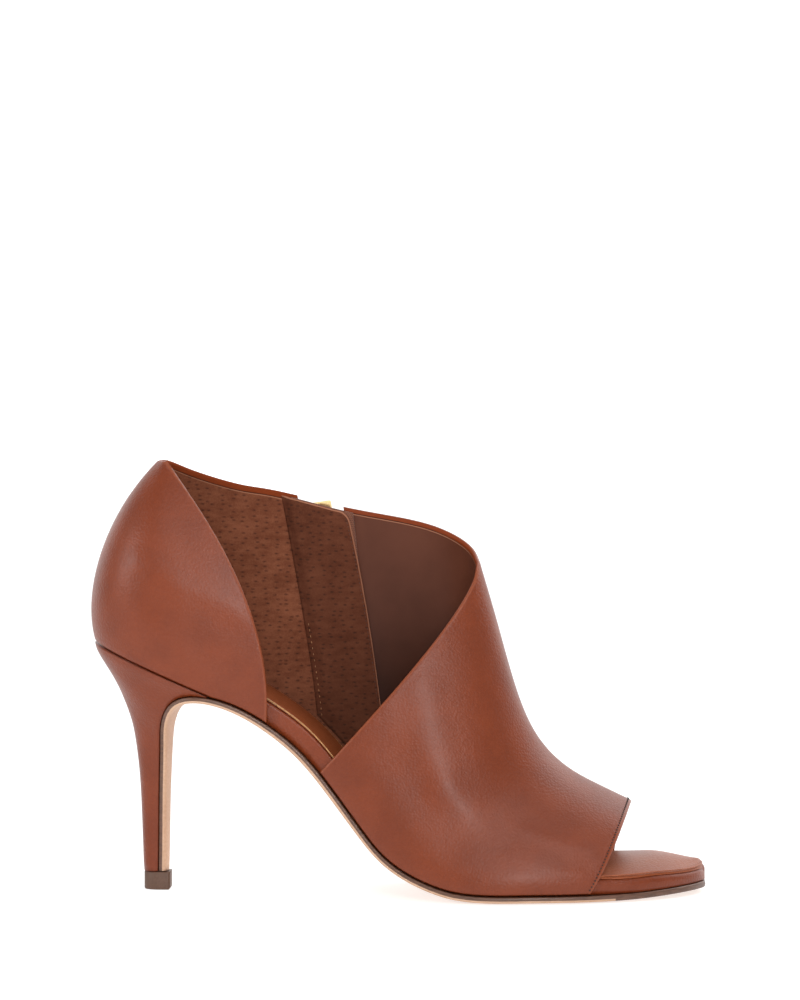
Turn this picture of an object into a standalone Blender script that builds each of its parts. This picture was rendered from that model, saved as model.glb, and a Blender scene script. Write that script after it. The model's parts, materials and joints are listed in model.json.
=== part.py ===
# A peep-toe shoe boot with one side cut away, on a slim covered heel, with a zip on the other side.
# It is a right shoe: toe towards +X, outer side with the cut-away towards -Y, floor at z = 0.
# The origin is the middle of the heel's worn face. Units are metres.
import math

import bmesh
import bpy
import numpy as np
from mathutils import Matrix, Vector

# Driving sizes of the last
LENGTH = 0.2204          # back of the counter to the tip of the toe
HEEL_SETBACK = 0.0238    # back of the counter to the middle of the heel's foot
HEEL_HEIGHT = 0.089      # floor to the heel seat, at the back
COLLAR_RISE = 0.0648     # heel seat to the peak of the collar, at the back
THROAT_HEIGHT = 0.120    # floor to the front of the collar, on the instep
BALL_WIDTH = 0.078       # widest part of the outline, across the ball
COLLAR_WIDTH = 0.050     # across the collar, at the ankle

# Thicknesses and clearances
WALL = 0.0016            # leather and lining of the upper
FIT = 0.0003             # air between two pieces that meet
SEAT_FIT = 0.0006        # air under the outer edge of the wall, whose inner edge hangs lower
OUTSOLE_EDGE = 0.0021    # outsole, at its edge
FOOTBED_WAIST = 0.0066   # covered board under the foot, at the arch and the heel
FOOTBED_TOE = 0.0052     # the same board under the toes
FOOTBED_CROWN = 0.0008   # rise of the board's middle above its edges
TOE_CROWN = 0.0042       # the same under the toes, where the board is padded
TIP_FALL = 0.0022        # how much of that padding is gone at the tip
TIP_THIN = 0.0014        # how much thinner the board's edge is at the tip
SOCK = 0.0010            # leather sock glued on the board
SOCK_MARGIN = 0.0009     # sock kept back from the board's edge
BOARD_ROUND = 0.0012     # rounding of the board's upper edge
TOE_ROUND = 0.0026       # the same under the toes
TOE_REVEAL = 0.0008      # board kept back from the outline where the toes show

# Zip and the leather guard behind it
TAPE = 0.0006            # woven tape
TAPE_REACH = 0.0035      # tape behind the leather at each side of the slot
TAPE_HEAD = 0.988        # upper end of the tape, as a share of the way up the wall
CHAIN_START = 0.0010     # teeth above the foot of the slot
TEETH_RISE = 0.0014      # teeth standing on the tape
TEETH_WIDTH = 0.0046
GUARD = 0.0010           # thickness of the guard
GUARD_BACK = 0.0085      # guard sewn down behind the slot
GUARD_FRONT = 0.0111     # guard's free edge ahead of the slot, more at the foot than at the head
GUARD_OVERLAP = 0.0016   # guard's free edge ahead of the slot at its head
GUARD_CORNER = 0.0027    # rounding of the guard's upper corner
GUARD_FOOT = 0.135       # lower and upper end of the guard, as shares of the way up the wall
GUARD_HEAD = 0.985
SLIDER_AT = 0.945        # middle of the slider, as a share of the way up the wall

# Heel
HEEL_FOOT_WIDTH = 0.0094
HEEL_FOOT_DEPTH = 0.0094
TOP_PIECE_HEIGHT = 0.0064
TOP_PIECE_BEVEL = 0.0006

# Zip slider and its pull tab
SLIDER_WIDTH = 0.0080
SLIDER_LENGTH = 0.0096
SLIDER_PLATE = 0.0016
BAIL_WIDTH = 0.0018
BAIL_SPAN = 0.0072
BAIL_RISE = 0.0032
BAIL_BAR = 0.0008
PULL_LENGTH = 0.0230
PULL_WIDTH = 0.0052
PULL_THICKNESS = 0.0012
PULL_WINDOW_WIDTH = 0.0030
PULL_WINDOW_LENGTH = 0.0044

# Middle of the outsole's underside, from the toe back under the foot and down the breast of the heel:
# distance from the back as a share of LENGTH, height as a share of HEEL_HEIGHT, side bulge in metres.
SOLE_PATH = (
    # along, height, bulge
    (0.997, 0.022, 0.0003), (0.961, 0.016, 0.0004), (0.925, 0.010, 0.0005), (0.888, 0.005, 0.0005),
    (0.852, 0.002, 0.0005), (0.798, 0.000, 0.0005), (0.707, 0.000, 0.0005), (0.625, 0.001, 0.0006),
    (0.589, 0.010, 0.0008), (0.548, 0.038, 0.0010), (0.510, 0.079, 0.0012), (0.471, 0.144, 0.0015),
    (0.430, 0.256, 0.0018), (0.384, 0.404, 0.0019), (0.335, 0.545, 0.0019), (0.289, 0.639, 0.0018),
    (0.244, 0.710, 0.0014), (0.203, 0.752, 0.0009), (0.174, 0.760, 0.0008), (0.150, 0.740, 0.0010),
    (0.138, 0.691, 0.0013), (0.133, 0.607, 0.0013), (0.131, 0.494, 0.0013), (0.129, 0.337, 0.0013),
    (0.128, 0.180, 0.0013), (0.127, 0.076, 0.0013),
)
WAIST_ROW = 17           # row of SOLE_PATH where the sole meets the front of the heel seat

# Outline of the upper where it meets the sole: distance from the back as a share of LENGTH,
# half widths as shares of BALL_WIDTH. The first row is the tip of the toe.
OUTLINE = (
    # along, outer, inner
    (1.000, -0.038, 0.038), (0.970, 0.167, 0.218), (0.907, 0.330, 0.370), (0.834, 0.426, 0.450),
    (0.761, 0.480, 0.484), (0.689, 0.508, 0.480), (0.616, 0.500, 0.440), (0.544, 0.452, 0.384),
    (0.471, 0.388, 0.326), (0.398, 0.330, 0.275), (0.326, 0.298, 0.262), (0.244, 0.302, 0.286),
    (0.172, 0.312, 0.308),
)
SEAT_BACK = 0.008        # back of the heel seat, as a share of LENGTH
SEAT_ROUND = 2.3         # roundness of the heel seat's back, 2 for an ellipse

# Sections of the heel, from the seat down. Its front lies on the flap of the sole, at a share of the
# flap's length, and its back is in shares of LENGTH and HEEL_HEIGHT. The half width is a share of
# BALL_WIDTH, and the rounded part is a share of the section, from the back.
HEEL_SECTIONS = (
    # flap, back along, back height, half width, rounded
    (0.00, 0.008, 0.994, 0.312, 0.80), (0.09, 0.011, 0.968, 0.288, 0.80), (0.17, 0.019, 0.932, 0.242, 0.79),
    (0.24, 0.030, 0.890, 0.196, 0.77), (0.31, 0.042, 0.838, 0.154, 0.75), (0.40, 0.055, 0.766, 0.121, 0.72),
    (0.50, 0.067, 0.680, 0.100, 0.69), (0.60, 0.074, 0.588, 0.087, 0.66), (0.70, 0.079, 0.482, 0.078, 0.64),
    (0.80, 0.082, 0.362, 0.071, 0.62), (0.90, 0.084, 0.226, 0.065, 0.60), (1.00, 0.086, 0.078, 0.060, 0.60),
)

# Ribs of the wall, from the front edge of the outer quarter round the heel and forward along the inner
# side to the throat. Each rib is a curve from the sole's edge up to the collar. Distances along are
# shares of LENGTH, heights shares of the rib's own rise, sideways shares of the half collar width.
WALL_RIBS = (
    # name, columns before it, base along, low (along, side, height), high (along, side, height), top (along, side)
    ("outer edge", 0, 0.294, (0.308, -1.130, 0.350), (0.234, -1.020, 0.700), (0.126, -0.320)),
    ("outer side", 4, 0.205, (0.205, -1.200, 0.330), (0.166, -1.040, 0.700), (0.122, -0.270)),
    ("outer heel", 4, 0.100, (0.088, -1.130, 0.320), (0.096, -0.960, 0.700), (0.118, -0.200)),
    ("outer back", 4, 0.034, (0.017, -0.760, 0.300), (0.045, -0.620, 0.710), (0.114, -0.110)),
    ("back", 3, 0.008, (-0.016, 0.000, 0.280), (0.027, 0.000, 0.720), (0.112, 0.000)),
    ("inner back", 3, 0.034, (0.017, 0.760, 0.300), (0.045, 0.620, 0.710), (0.122, 0.350)),
    ("inner heel", 4, 0.100, (0.088, 1.110, 0.320), (0.100, 1.000, 0.700), (0.155, 0.650)),
    ("inner side", 4, 0.195, (0.192, 1.160, 0.320), (0.198, 1.060, 0.700), (0.225, 0.870)),
    ("zip back", 5, 0.392, (0.385, 1.000, 0.300), (0.354, 1.130, 0.700), (0.328, 1.000)),
    ("zip front", 3, 0.444, (0.436, 1.200, 0.300), (0.422, 1.180, 0.700), (0.404, 0.990)),
    ("inner waist", 3, 0.495, (0.490, 1.370, 0.300), (0.487, 1.200, 0.700), (0.485, 0.920)),
    ("inner instep", 3, 0.527, (0.528, 1.450, 0.300), (0.548, 1.180, 0.740), (0.565, 0.740)),
    ("throat side", 3, 0.542, (0.552, 1.480, 0.300), (0.602, 1.100, 0.820), (0.618, 0.400)),
    ("throat", 3, 0.550, (0.568, 1.500, 0.300), (0.634, 0.880, 0.930), (0.632, 0.000)),
)
COLLAR_HEIGHTS = (
    # share of LENGTH from the back, share of the drop from the peak of the collar to the throat
    (0.112, 0.000), (0.126, 0.010), (0.168, 0.150), (0.250, 0.310), (0.328, 0.400), (0.404, 0.520),
    (0.485, 0.615), (0.530, 0.685), (0.565, 0.737), (0.580, 0.772), (0.609, 0.870), (0.618, 0.925),
    (0.625, 0.985), (0.632, 1.070),
)
WALL_ROWS = 14
ZIP_FOOT_ROW = 4         # row of the wall where the zip's slot ends

# Ribs of the vamp, from the throat forward to the toe opening. The ridge is the crest of the instep.
# Along is a share of LENGTH, out a share of BALL_WIDTH. Up is a share of the rib's own rise, and the
# high handles are measured from the ridge, with down as a share of THROAT_HEIGHT.
VAMP_RIBS = (
    # columns before it, ridge (along, height), outer base, outer low (along, out, up),
    # outer high (along, out, down), inner base, inner low (along, out, up), inner high (along, out, down)
    (0, (0.632, 0.980), 0.380, (0.082, 0.100, 0.270), (0.004, 0.230, 0.105),
     0.550, (0.018, 0.095, 0.300), None),
    (3, (0.6605, 0.800), 0.446, (0.066, 0.085, 0.250), (0.006, 0.270, 0.050),
     0.574, (0.018, 0.090, 0.300), (0.004, 0.290, 0.030)),
    (3, (0.685, 0.640), 0.510, (0.048, 0.070, 0.240), (0.006, 0.270, 0.025),
     0.606, (0.016, 0.080, 0.300), (0.003, 0.270, 0.020)),
    (3, (0.720, 0.480), 0.574, (0.034, 0.060, 0.240), (0.000, 0.250, 0.012),
     0.650, (0.012, 0.070, 0.300), (-0.003, 0.250, 0.012)),
    (3, (0.770, 0.377), 0.650, (0.026, 0.050, 0.260), (-0.006, 0.250, 0.008),
     0.716, (0.010, 0.060, 0.320), (-0.008, 0.250, 0.008)),
    (3, (0.826, 0.318), 0.736, (0.018, 0.040, 0.300), (-0.006, 0.250, 0.006),
     0.790, (0.008, 0.050, 0.340), (-0.007, 0.250, 0.006)),
    (3, (0.878, 0.272), 0.813, (0.028, 0.030, 0.320), (-0.005, 0.240, 0.006),
     0.846, (0.006, 0.036, 0.360), (-0.014, 0.240, 0.006)),
)

FLAP_EASE = 0.24         # share of the flap over which the waist's width turns into the heel's
FACES_ACROSS_SOLE = 8
HEEL_RING = 22


def natural_spline(knots, rows):
    """A smooth curve through the rows, one row for each knot."""
    knots = np.asarray(knots, float)
    rows = np.asarray(rows, float).reshape(len(knots), -1)
    steps = np.diff(knots)
    system = np.eye(len(knots))
    right = np.zeros_like(rows)
    for i in range(1, len(knots) - 1):
        system[i, i - 1 : i + 2] = steps[i - 1], 2 * (steps[i - 1] + steps[i]), steps[i]
        right[i] = 6 * ((rows[i + 1] - rows[i]) / steps[i] - (rows[i] - rows[i - 1]) / steps[i - 1])
    bend = np.linalg.solve(system, right)

    def value(t):
        t = np.atleast_1d(np.asarray(t, float))
        i = np.clip(np.searchsorted(knots, t) - 1, 0, len(steps) - 1)
        h = steps[i][:, None]
        a = (knots[i + 1] - t)[:, None] / h
        b = 1 - a
        cubic = ((a**3 - a) * bend[i] + (b**3 - b) * bend[i + 1]) * h**2 / 6
        return a * rows[i] + b * rows[i + 1] + cubic

    return value


def chord_knots(points):
    """Knots spaced by the distance between successive points."""
    gaps = np.linalg.norm(np.diff(np.asarray(points, float), axis=0), axis=1)
    return np.concatenate([[0.0], np.cumsum(gaps)])


def bezier(controls, t):
    """Points of a cubic curve with four control points, at each t."""
    p = np.asarray(controls, float)
    t = np.asarray(t, float)[:, None]
    s = 1 - t
    return s**3 * p[0] + 3 * s**2 * t * p[1] + 3 * s * t**2 * p[2] + t**3 * p[3]


def along(share):
    return -HEEL_SETBACK + share * LENGTH


# The sole's path and the surfaces that follow it
path_rows = np.array([(along(a), h * HEEL_HEIGHT, b) for a, h, b in SOLE_PATH])
path_knots = chord_knots(path_rows[:, :2])
path = natural_spline(path_knots, path_rows)
heel_rows = np.array(HEEL_SECTIONS)
heel_sections = natural_spline(heel_rows[:, 0], heel_rows[:, 1:])
TIP_X = along(1.0)
BACK_X = along(SEAT_BACK)


def sole_point(t):
    """Middle of the outsole's underside, the direction into the shoe, and the bulge, at path distance t."""
    step = 1e-4
    x, z, bulge = path(t)[0]
    before, after = path(t - step)[0], path(t + step)[0]
    heading = np.array([after[0] - before[0], after[1] - before[1]])
    heading /= np.linalg.norm(heading)
    return np.array([x, z]), np.array([heading[1], -heading[0]]), bulge


def sole_top(t, clearance=0.0):
    """A point on the outsole's upper face, in side view."""
    middle, inward, bulge = sole_point(t)
    return middle + inward * (bulge + OUTSOLE_EDGE + clearance)


def foot_line(clearance):
    """Points above the outsole's upper face, from the heel seat to the toe."""
    turns = np.linspace(0.0, path_knots[WAIST_ROW], 120)
    return np.array([sole_top(t, clearance) for t in turns])[::-1]


board_line, wall_line = foot_line(FIT), foot_line(SEAT_FIT)
SEAT_FRONT_X = board_line[0, 0]


def base_height(x, clearance=FIT):
    """Height of the line where upper and footbed meet the sole or the heel."""
    line = board_line if clearance == FIT else wall_line
    front_x, front_z = line[0]
    back_z = HEEL_HEIGHT + clearance - FIT
    seat = front_z + (front_x - x) / (front_x - BACK_X) * (back_z - front_z)
    return np.where(np.asarray(x) < front_x, seat, np.interp(x, line[:, 0], line[:, 1]))


outline_rows = np.array(OUTLINE)
outline_knots = np.sqrt(np.maximum(1.0 - outline_rows[:, 0], 0.0))
outline = natural_spline(outline_knots, outline_rows[:, 1:] * BALL_WIDTH)
PARALLEL_X = along(OUTLINE[-1][0])


def half_widths(x):
    """(outer, inner) distance of the outline from the middle line, at x."""
    share = min(max((TIP_X - x) / LENGTH, 0.0), 1.0 - OUTLINE[-1][0])
    widths = outline(math.sqrt(share))[0]
    if x < PARALLEL_X:
        reach = min(max((x - BACK_X) / (PARALLEL_X - BACK_X), 0.0), 1.0)
        widths = widths * (1 - (1 - reach) ** SEAT_ROUND) ** (1 / SEAT_ROUND)
    return widths


def base_point(x, side):
    """The outline's point on the line of the sole's edge, side -1 for outer and +1 for inner."""
    outer, inner = half_widths(x)
    return np.array([x, -outer if side < 0 else inner, float(base_height(x, SEAT_FIT))])


collar_rows = np.array(COLLAR_HEIGHTS)
COLLAR_PEAK = HEEL_HEIGHT + COLLAR_RISE


def collar_height(x):
    share = np.interp((x + HEEL_SETBACK) / LENGTH, collar_rows[:, 0], collar_rows[:, 1])
    return COLLAR_PEAK + (THROAT_HEIGHT - COLLAR_PEAK) * share


def wall_controls():
    """Four control points of each rib of the wall."""
    rows = []
    for _, _, base, low, high, top in WALL_RIBS:
        side = 1 if top[1] > 0 or low[1] > 0 else -1
        start = base_point(along(base), side)
        if base == SEAT_BACK:
            start[1] = 0.0
        end = np.array([along(top[0]), top[1] * COLLAR_WIDTH / 2, collar_height(along(top[0]))])
        rise = end[2] - start[2]
        handles = [
            np.array([along(a), s * COLLAR_WIDTH / 2, start[2] + h * rise]) for a, s, h in (low, high)
        ]
        rows.append(np.concatenate([start, *handles, end]))
    return np.array(rows)


def vamp_controls(throat_inner):
    """Control points of the vamp's ribs, inner base over the ridge to outer base."""
    rows = []
    for _, ridge, outer, outer_low, outer_high, inner, inner_low, inner_high in VAMP_RIBS:
        crest = np.array([along(ridge[0]), 0.0, ridge[1] * THROAT_HEIGHT])
        halves = []
        for side, base, low, high in ((1, inner, inner_low, inner_high), (-1, outer, outer_low, outer_high)):
            start = base_point(along(base), side)
            rise = crest[2] - start[2]
            first = start + np.array([low[0] * LENGTH, side * low[1] * BALL_WIDTH, low[2] * rise])
            if high is None:
                halves.append(throat_inner.reshape(4, 3))
                continue
            drop = -high[2] * THROAT_HEIGHT
            second = crest + np.array([high[0] * LENGTH, side * high[1] * BALL_WIDTH, drop])
            halves.append(np.array([start, first, second, crest]))
        rows.append(np.concatenate([halves[0].ravel(), halves[1][:3].ravel()]))
    return np.array(rows)


wall_rows = wall_controls()
wall_knots = chord_knots(wall_rows[:, [0, 1, 6, 7]])
wall = natural_spline(wall_knots, wall_rows)
vamp_rows = vamp_controls(wall_rows[-1])
vamp_knots = chord_knots(vamp_rows[:, [9, 11, 12, 14]])
vamp = natural_spline(vamp_knots, vamp_rows)
WALL_NAMES = [row[0] for row in WALL_RIBS]


def wall_at(name):
    return wall_knots[WALL_NAMES.index(name)]


def columns(knots, counts):
    """Knot values for the grid's columns: counts[i] columns between one rib and the next."""
    values = [knots[0]]
    for a, b, n in zip(knots[:-1], knots[1:], counts[1:]):
        values.extend(a + (b - a) * (k + 1) / n for k in range(n))
    return values


def seated(start, low, side):
    """The lower two control points of a rib, moved so that the rib stands on the sole's edge."""
    seat = base_point(start[0], side)
    hold = min(max((start[0] - along(0.05)) / (0.07 * LENGTH), 0.0), 1.0)
    seat[1] = start[1] * (1 - hold) + seat[1] * hold
    return seat, low + seat - start


def wall_rib(t):
    """Control points of the wall's rib at knot t, from the sole's edge to the collar."""
    rib = wall(t)[0].reshape(4, 3)
    rib[0], rib[1] = seated(rib[0], rib[1], 1 if rib[0][1] > 0 else -1)
    return rib


def vamp_halves(t):
    """Control points of the vamp's rib at knot t: inner base to ridge, and outer base to ridge."""
    row = vamp(t)[0].reshape(7, 3)
    inner = row[:4]
    outer = row[[4, 5, 6, 3]]
    inner[0], inner[1] = seated(inner[0], inner[1], 1)
    outer[0], outer[1] = seated(outer[0], outer[1], -1)
    return inner, outer


def wall_point(t, height):
    """A point of the wall's outer face, at rib knot t and at a share of the way up the rib."""
    return bezier(wall_rib(t), [height])[0]


def wall_normal(t, height):
    step = 1e-4
    side = wall_point(t + step, height) - wall_point(t - step, height)
    up = wall_point(t, height + step) - wall_point(t, height - step)
    normal = np.cross(side, up)
    return -normal / np.linalg.norm(normal)


def inside_wall(t, height, depth):
    return wall_point(t, height) - wall_normal(t, height) * depth


def principled(name, colour, roughness, metallic=0.0):
    material = bpy.data.materials.new(name)
    material.use_nodes = True
    shader = material.node_tree.nodes["Principled BSDF"]
    shader.inputs["Base Color"].default_value = (*colour, 1.0)
    shader.inputs["Roughness"].default_value = roughness
    shader.inputs["Metallic"].default_value = metallic
    return material


def add_object(name, mesh, material, smooth_angle=0.7):
    for polygon in mesh.polygons:
        polygon.use_smooth = True
    mesh.set_sharp_from_angle(angle=smooth_angle)
    made = bpy.data.objects.new(name, mesh)
    made.data.materials.append(material)
    shoe.objects.link(made)
    return made


def grid_mesh(bm, points):
    """Adds a sheet of faces over a table of points, one row for each column of the sheet."""
    verts = [[bm.verts.new(p) for p in column] for column in points]
    faces = []
    for a, b in zip(verts[:-1], verts[1:]):
        faces.append([bm.faces.new((a[j], a[j + 1], b[j + 1], b[j])) for j in range(len(a) - 1)])
    return faces


def loft(name, rings, material, smooth_angle=0.7):
    """A closed solid through rings of points, each ring with as many points as the next."""
    bm = bmesh.new()
    verts = [[bm.verts.new(p) for p in ring] for ring in rings]
    for a, b in zip(verts[:-1], verts[1:]):
        for j in range(len(a)):
            k = (j + 1) % len(a)
            bm.faces.new((a[j], a[k], b[k], b[j]))
    bm.faces.new(reversed(verts[0]))
    bm.faces.new(verts[-1])
    bmesh.ops.recalc_face_normals(bm, faces=bm.faces[:])
    mesh = bpy.data.meshes.new(name)
    bm.to_mesh(mesh)
    bm.free()
    return add_object(name, mesh, material, smooth_angle)


def thickened(name, points, thickness, material):
    """A sheet of points on the outer side of a panel, given its thickness inwards."""
    bm = bmesh.new()
    grid_mesh(bm, points)
    mesh = bpy.data.meshes.new(name)
    bm.to_mesh(mesh)
    bm.free()
    made = add_object(name, mesh, material)
    shell = made.modifiers.new("thickness", "SOLIDIFY")
    shell.thickness = thickness
    shell.offset = -1.0
    return made


def make_upper(material):
    """Quarter, inner side and vamp as one hollow shell, open at collar, toe, cut-away and zip."""
    heights = np.linspace(0.0, 1.0, WALL_ROWS + 1)
    wall_columns = columns(wall_knots, [row[1] for row in WALL_RIBS])
    wall_points = [bezier(wall_rib(t), heights) for t in wall_columns]
    vamp_columns = columns(vamp_knots, [row[0] for row in VAMP_RIBS])
    vamp_points = []
    for t in vamp_columns:
        inner, outer = (bezier(half, heights) for half in vamp_halves(t))
        vamp_points.append(np.concatenate([inner, outer[-2::-1]]))
    bm = bmesh.new()
    faces = grid_mesh(bm, wall_points)
    slot = [
        face
        for t, column in zip(wall_columns[:-1], faces)
        if wall_at("zip back") - 1e-6 <= t < wall_at("zip front") - 1e-6
        for face in column[ZIP_FOOT_ROW:]
    ]
    bmesh.ops.delete(bm, geom=slot, context="FACES")
    grid_mesh(bm, vamp_points)
    bmesh.ops.remove_doubles(bm, verts=bm.verts[:], dist=1e-6)
    mesh = bpy.data.meshes.new("upper")
    bm.to_mesh(mesh)
    bm.free()
    made = add_object("upper", mesh, material)
    shell = made.modifiers.new("thickness", "SOLIDIFY")
    shell.thickness = WALL
    shell.offset = -1.0
    return made


def sole_stations():
    """Path distances of the outsole's sections, closer together at the toe."""
    first = path_knots[1] * np.array([0.0, 0.02, 0.07, 0.16, 0.30, 0.48, 0.72])
    rest = [np.linspace(a, b, 3)[:2] for a, b in zip(path_knots[1:-1], path_knots[2:])]
    return [*first, *np.concatenate(rest), path_knots[-1]]


def flap_share(t):
    """How far down the flap a path distance lies, from the heel seat to the top piece."""
    return (t - path_knots[WAIST_ROW]) / (path_knots[-1] - path_knots[WAIST_ROW])


def make_outsole(material):
    """Outsole with its flap down the breast of the heel, flat inside and bulged outside."""
    rings = []
    for t in sole_stations():
        middle, inward, bulge = sole_point(t)
        outer, inner = sole_half_widths(t)
        shares = np.linspace(-1.0, 1.0, FACES_ACROSS_SOLE + 1)
        mid, half = (inner - outer) / 2, (inner + outer) / 2
        under = [(mid + s * half, bulge * s**2) for s in shares]
        upper_face = [(mid + s * half, bulge + OUTSOLE_EDGE) for s in shares[::-2]]
        ring = []
        for y, depth in under + upper_face:
            place = middle + inward * depth
            ring.append((place[0], y, place[1]))
        rings.append(ring)
    return loft("outsole", rings, material)


def sole_half_widths(t):
    """Half widths of the outsole at path distance t: the outline's, then the heel's breast."""
    share = flap_share(t)
    if share <= 0:
        return half_widths(min(sole_point(t)[0][0], TIP_X - 0.0002))
    breast = heel_sections(share)[0][2] * BALL_WIDTH
    ease = eased(share / FLAP_EASE)
    return half_widths(SEAT_FRONT_X) * (1 - ease) + np.array([breast, breast]) * ease


def section_u(back, front, half_width, rounded, seat=False):
    """A heel section: half a round at the back, straight sides and a flat front."""
    back, front = np.asarray(back, float), np.asarray(front, float)
    count = HEEL_RING // 2
    ring = []
    for side in (-1, 1):
        half = []
        for k in range(count):
            angle = k / (count - 3) * math.pi / 2
            if k <= count - 3:
                depth = rounded * (1 - math.cos(angle))
                y = math.sin(angle) ** (2 / SEAT_ROUND)
            else:
                depth = rounded + (1 - rounded) * (k - count + 3) / 2
                y = 1.0
            place = back + (front - back) * depth
            width = half_width
            if seat:
                widths = half_widths(max(place[0], BACK_X))
                width, y = (widths[0] if side < 0 else widths[1]), 1.0
            half.append((place[0], side * y * width, place[1]))
        ring.append(half)
    return ring[0][::-1] + ring[1][1:]


def make_heel(material):
    """Slim heel under the seat, flat where the outsole's flap lies on its breast."""
    flap = [t for t in sole_stations() if t > path_knots[WAIST_ROW] + 1e-6]
    first = sole_top(flap[0], FIT)
    back = np.array([BACK_X, base_height(BACK_X) - FIT])
    rings = [section_u(back, (first[0], float(base_height(first[0])) - FIT), 0.0, heel_rows[0, 4], seat=True)]
    for t in flap:
        back_along, back_height, half_width, rounded = heel_sections(flap_share(t))[0]
        front = sole_top(t, FIT)
        back = np.array([along(back_along), back_height * HEEL_HEIGHT])
        if t == flap[-1]:
            front[1] = back[1] = TOP_PIECE_HEIGHT + FIT
            back[0] = -HEEL_FOOT_DEPTH / 2
            half_width = HEEL_FOOT_WIDTH / 2 / BALL_WIDTH
        rings.append(section_u(back, front, half_width * BALL_WIDTH, rounded))
    return loft("heel", rings, material)


def make_top_piece(material):
    """Rubber piece under the heel, with its lower edge rounded."""
    rings = []
    for height, inset in (
        (0.0, TOP_PIECE_BEVEL),
        (TOP_PIECE_BEVEL, 0.0),
        (TOP_PIECE_HEIGHT, 0.0),
    ):
        back = np.array([-HEEL_FOOT_DEPTH / 2 + inset, height])
        front = np.array([HEEL_FOOT_DEPTH / 2 - inset, height])
        rings.append(section_u(back, front, HEEL_FOOT_WIDTH / 2 - inset, HEEL_SECTIONS[-1][4]))
    return loft("top_piece", rings, material, smooth_angle=0.5)


ARCH_START = 0.42        # the board thins towards the toes from this share of the length
ARCH_RUN = 0.25
TOE_EASE = 0.05          # share of the length in which the board's side comes out from under the upper


def eased(share):
    """A smooth step from 0 to 1."""
    share = min(max(share, 0.0), 1.0)
    return share * share * (3 - 2 * share)


def board_inset(x):
    """How far the footbed's side lies inside the outline: under the upper, or bare at the toes."""
    covered = along(VAMP_RIBS[-1][5])
    ease = min(max((x - covered) / (TOE_EASE * LENGTH), 0.0), 1.0)
    return (WALL + FIT) * (1 - ease) + TOE_REVEAL * ease


def tip_share(x):
    """0 back to the toe opening and 1 at the tip of the toe."""
    return eased((x - along(0.90)) / (0.10 * LENGTH))


def board_thickness(x):
    share = (x + HEEL_SETBACK) / LENGTH
    ease = eased((share - ARCH_START) / ARCH_RUN)
    plain = FOOTBED_WAIST * (1 - ease) + FOOTBED_TOE * ease - TIP_THIN * tip_share(x)
    step = 0.004
    slope = float(base_height(x + step) - base_height(x - step)) / (2 * step)
    return plain * math.sqrt(1 + slope * slope)


def board_stations(back, tip, count):
    """Places along the foot, closer together towards both ends."""
    angles = np.linspace(0.0, math.pi, count)
    return back + (tip - back) * (1 - np.cos(angles)) / 2


def taken_in(margin):
    """The outline moved inwards, square to itself, by the footbed's inset and a margin."""
    xs = board_stations(BACK_X, TIP_X, 400)
    widths = np.array([half_widths(x) for x in xs])
    inset = np.array([board_inset(x) + margin for x in xs])
    curves = []
    for side, width in ((-1, widths[:, 0]), (1, widths[:, 1])):
        run = np.stack([np.gradient(xs), np.gradient(side * width)], axis=1)
        run /= np.linalg.norm(run, axis=1)[:, None]
        curves.append((xs + side * run[:, 1] * inset, side * width - side * run[:, 0] * inset))
    return curves


def board_span(x, margin=0.0):
    """Middle and half width of the footbed at x, with its sides taken in by a margin."""
    curves = board_curves if margin == 0.0 else sock_curves
    outer, inner = (float(np.interp(x, xs, ys)) for xs, ys in curves)
    return (inner + outer) / 2, max((inner - outer) / 2, 0.0003)


board_curves = taken_in(0.0)
sock_curves = taken_in(SOCK_MARGIN)


def board_ends(margin):
    """Where the footbed's outline, taken in by a margin, begins and ends."""
    xs = np.linspace(BACK_X, TIP_X, 1200)
    wide = [x for x in xs if board_span(x, margin)[1] > 0.0006]
    return wide[0], wide[-1]


BOARD_TIP = board_ends(0.0)[1]


def edge_drop(gap, soft):
    """How far a rounded edge lies below the top, at a gap from the edge."""
    gap = min(max(gap, 0.0), soft)
    return soft - math.sqrt(soft * soft - (soft - gap) ** 2)


def board_crown(x):
    """Rise of the footbed's middle above its edges."""
    rise = eased((x - along(0.66)) / (0.14 * LENGTH))
    return FOOTBED_CROWN + (TOE_CROWN - FOOTBED_CROWN) * rise - TIP_FALL * tip_share(x)


def board_soft(x):
    """Rounding of the footbed's upper edge."""
    plain = BOARD_ROUND + (TOE_ROUND - BOARD_ROUND) * eased((x - along(0.80)) / (0.06 * LENGTH))
    return min(plain, board_span(x)[1] * 0.6)


def board_top(x, y):
    """Height of the footbed's crowned top above the base line, with its rounded edge."""
    mid, half = board_span(x)
    soft = board_soft(x)
    inner = min(abs(y - mid) / (half - soft), 1.0)
    flat = board_thickness(x) - edge_drop(BOARD_TIP - x, TOE_ROUND)
    return flat + board_crown(x) * (1 - inner**2) - edge_drop(half - abs(y - mid), soft)


def make_footbed(material):
    """Covered board that carries the foot, its side bare at the cut-away and under the toes."""
    rings = []
    for x in board_stations(*board_ends(0.0), 46):
        base = float(base_height(x))
        mid, half = board_span(x)
        soft = board_soft(x)
        top = board_top(x, mid + half - soft)
        right = [(mid + half, 0.0), (mid + half, top - soft), (mid + half - soft * 0.3, top - soft * 0.3)]
        left = [(2 * mid - y, z) for y, z in right[::-1]]
        over = [(y, board_top(x, y)) for y in mid + (half - soft) * np.linspace(1.0, -1.0, 9)]
        rings.append([(x, y, base + z) for y, z in [(mid, 0.0), *right, *over, *left]])
    return loft("footbed", rings, material)


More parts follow.
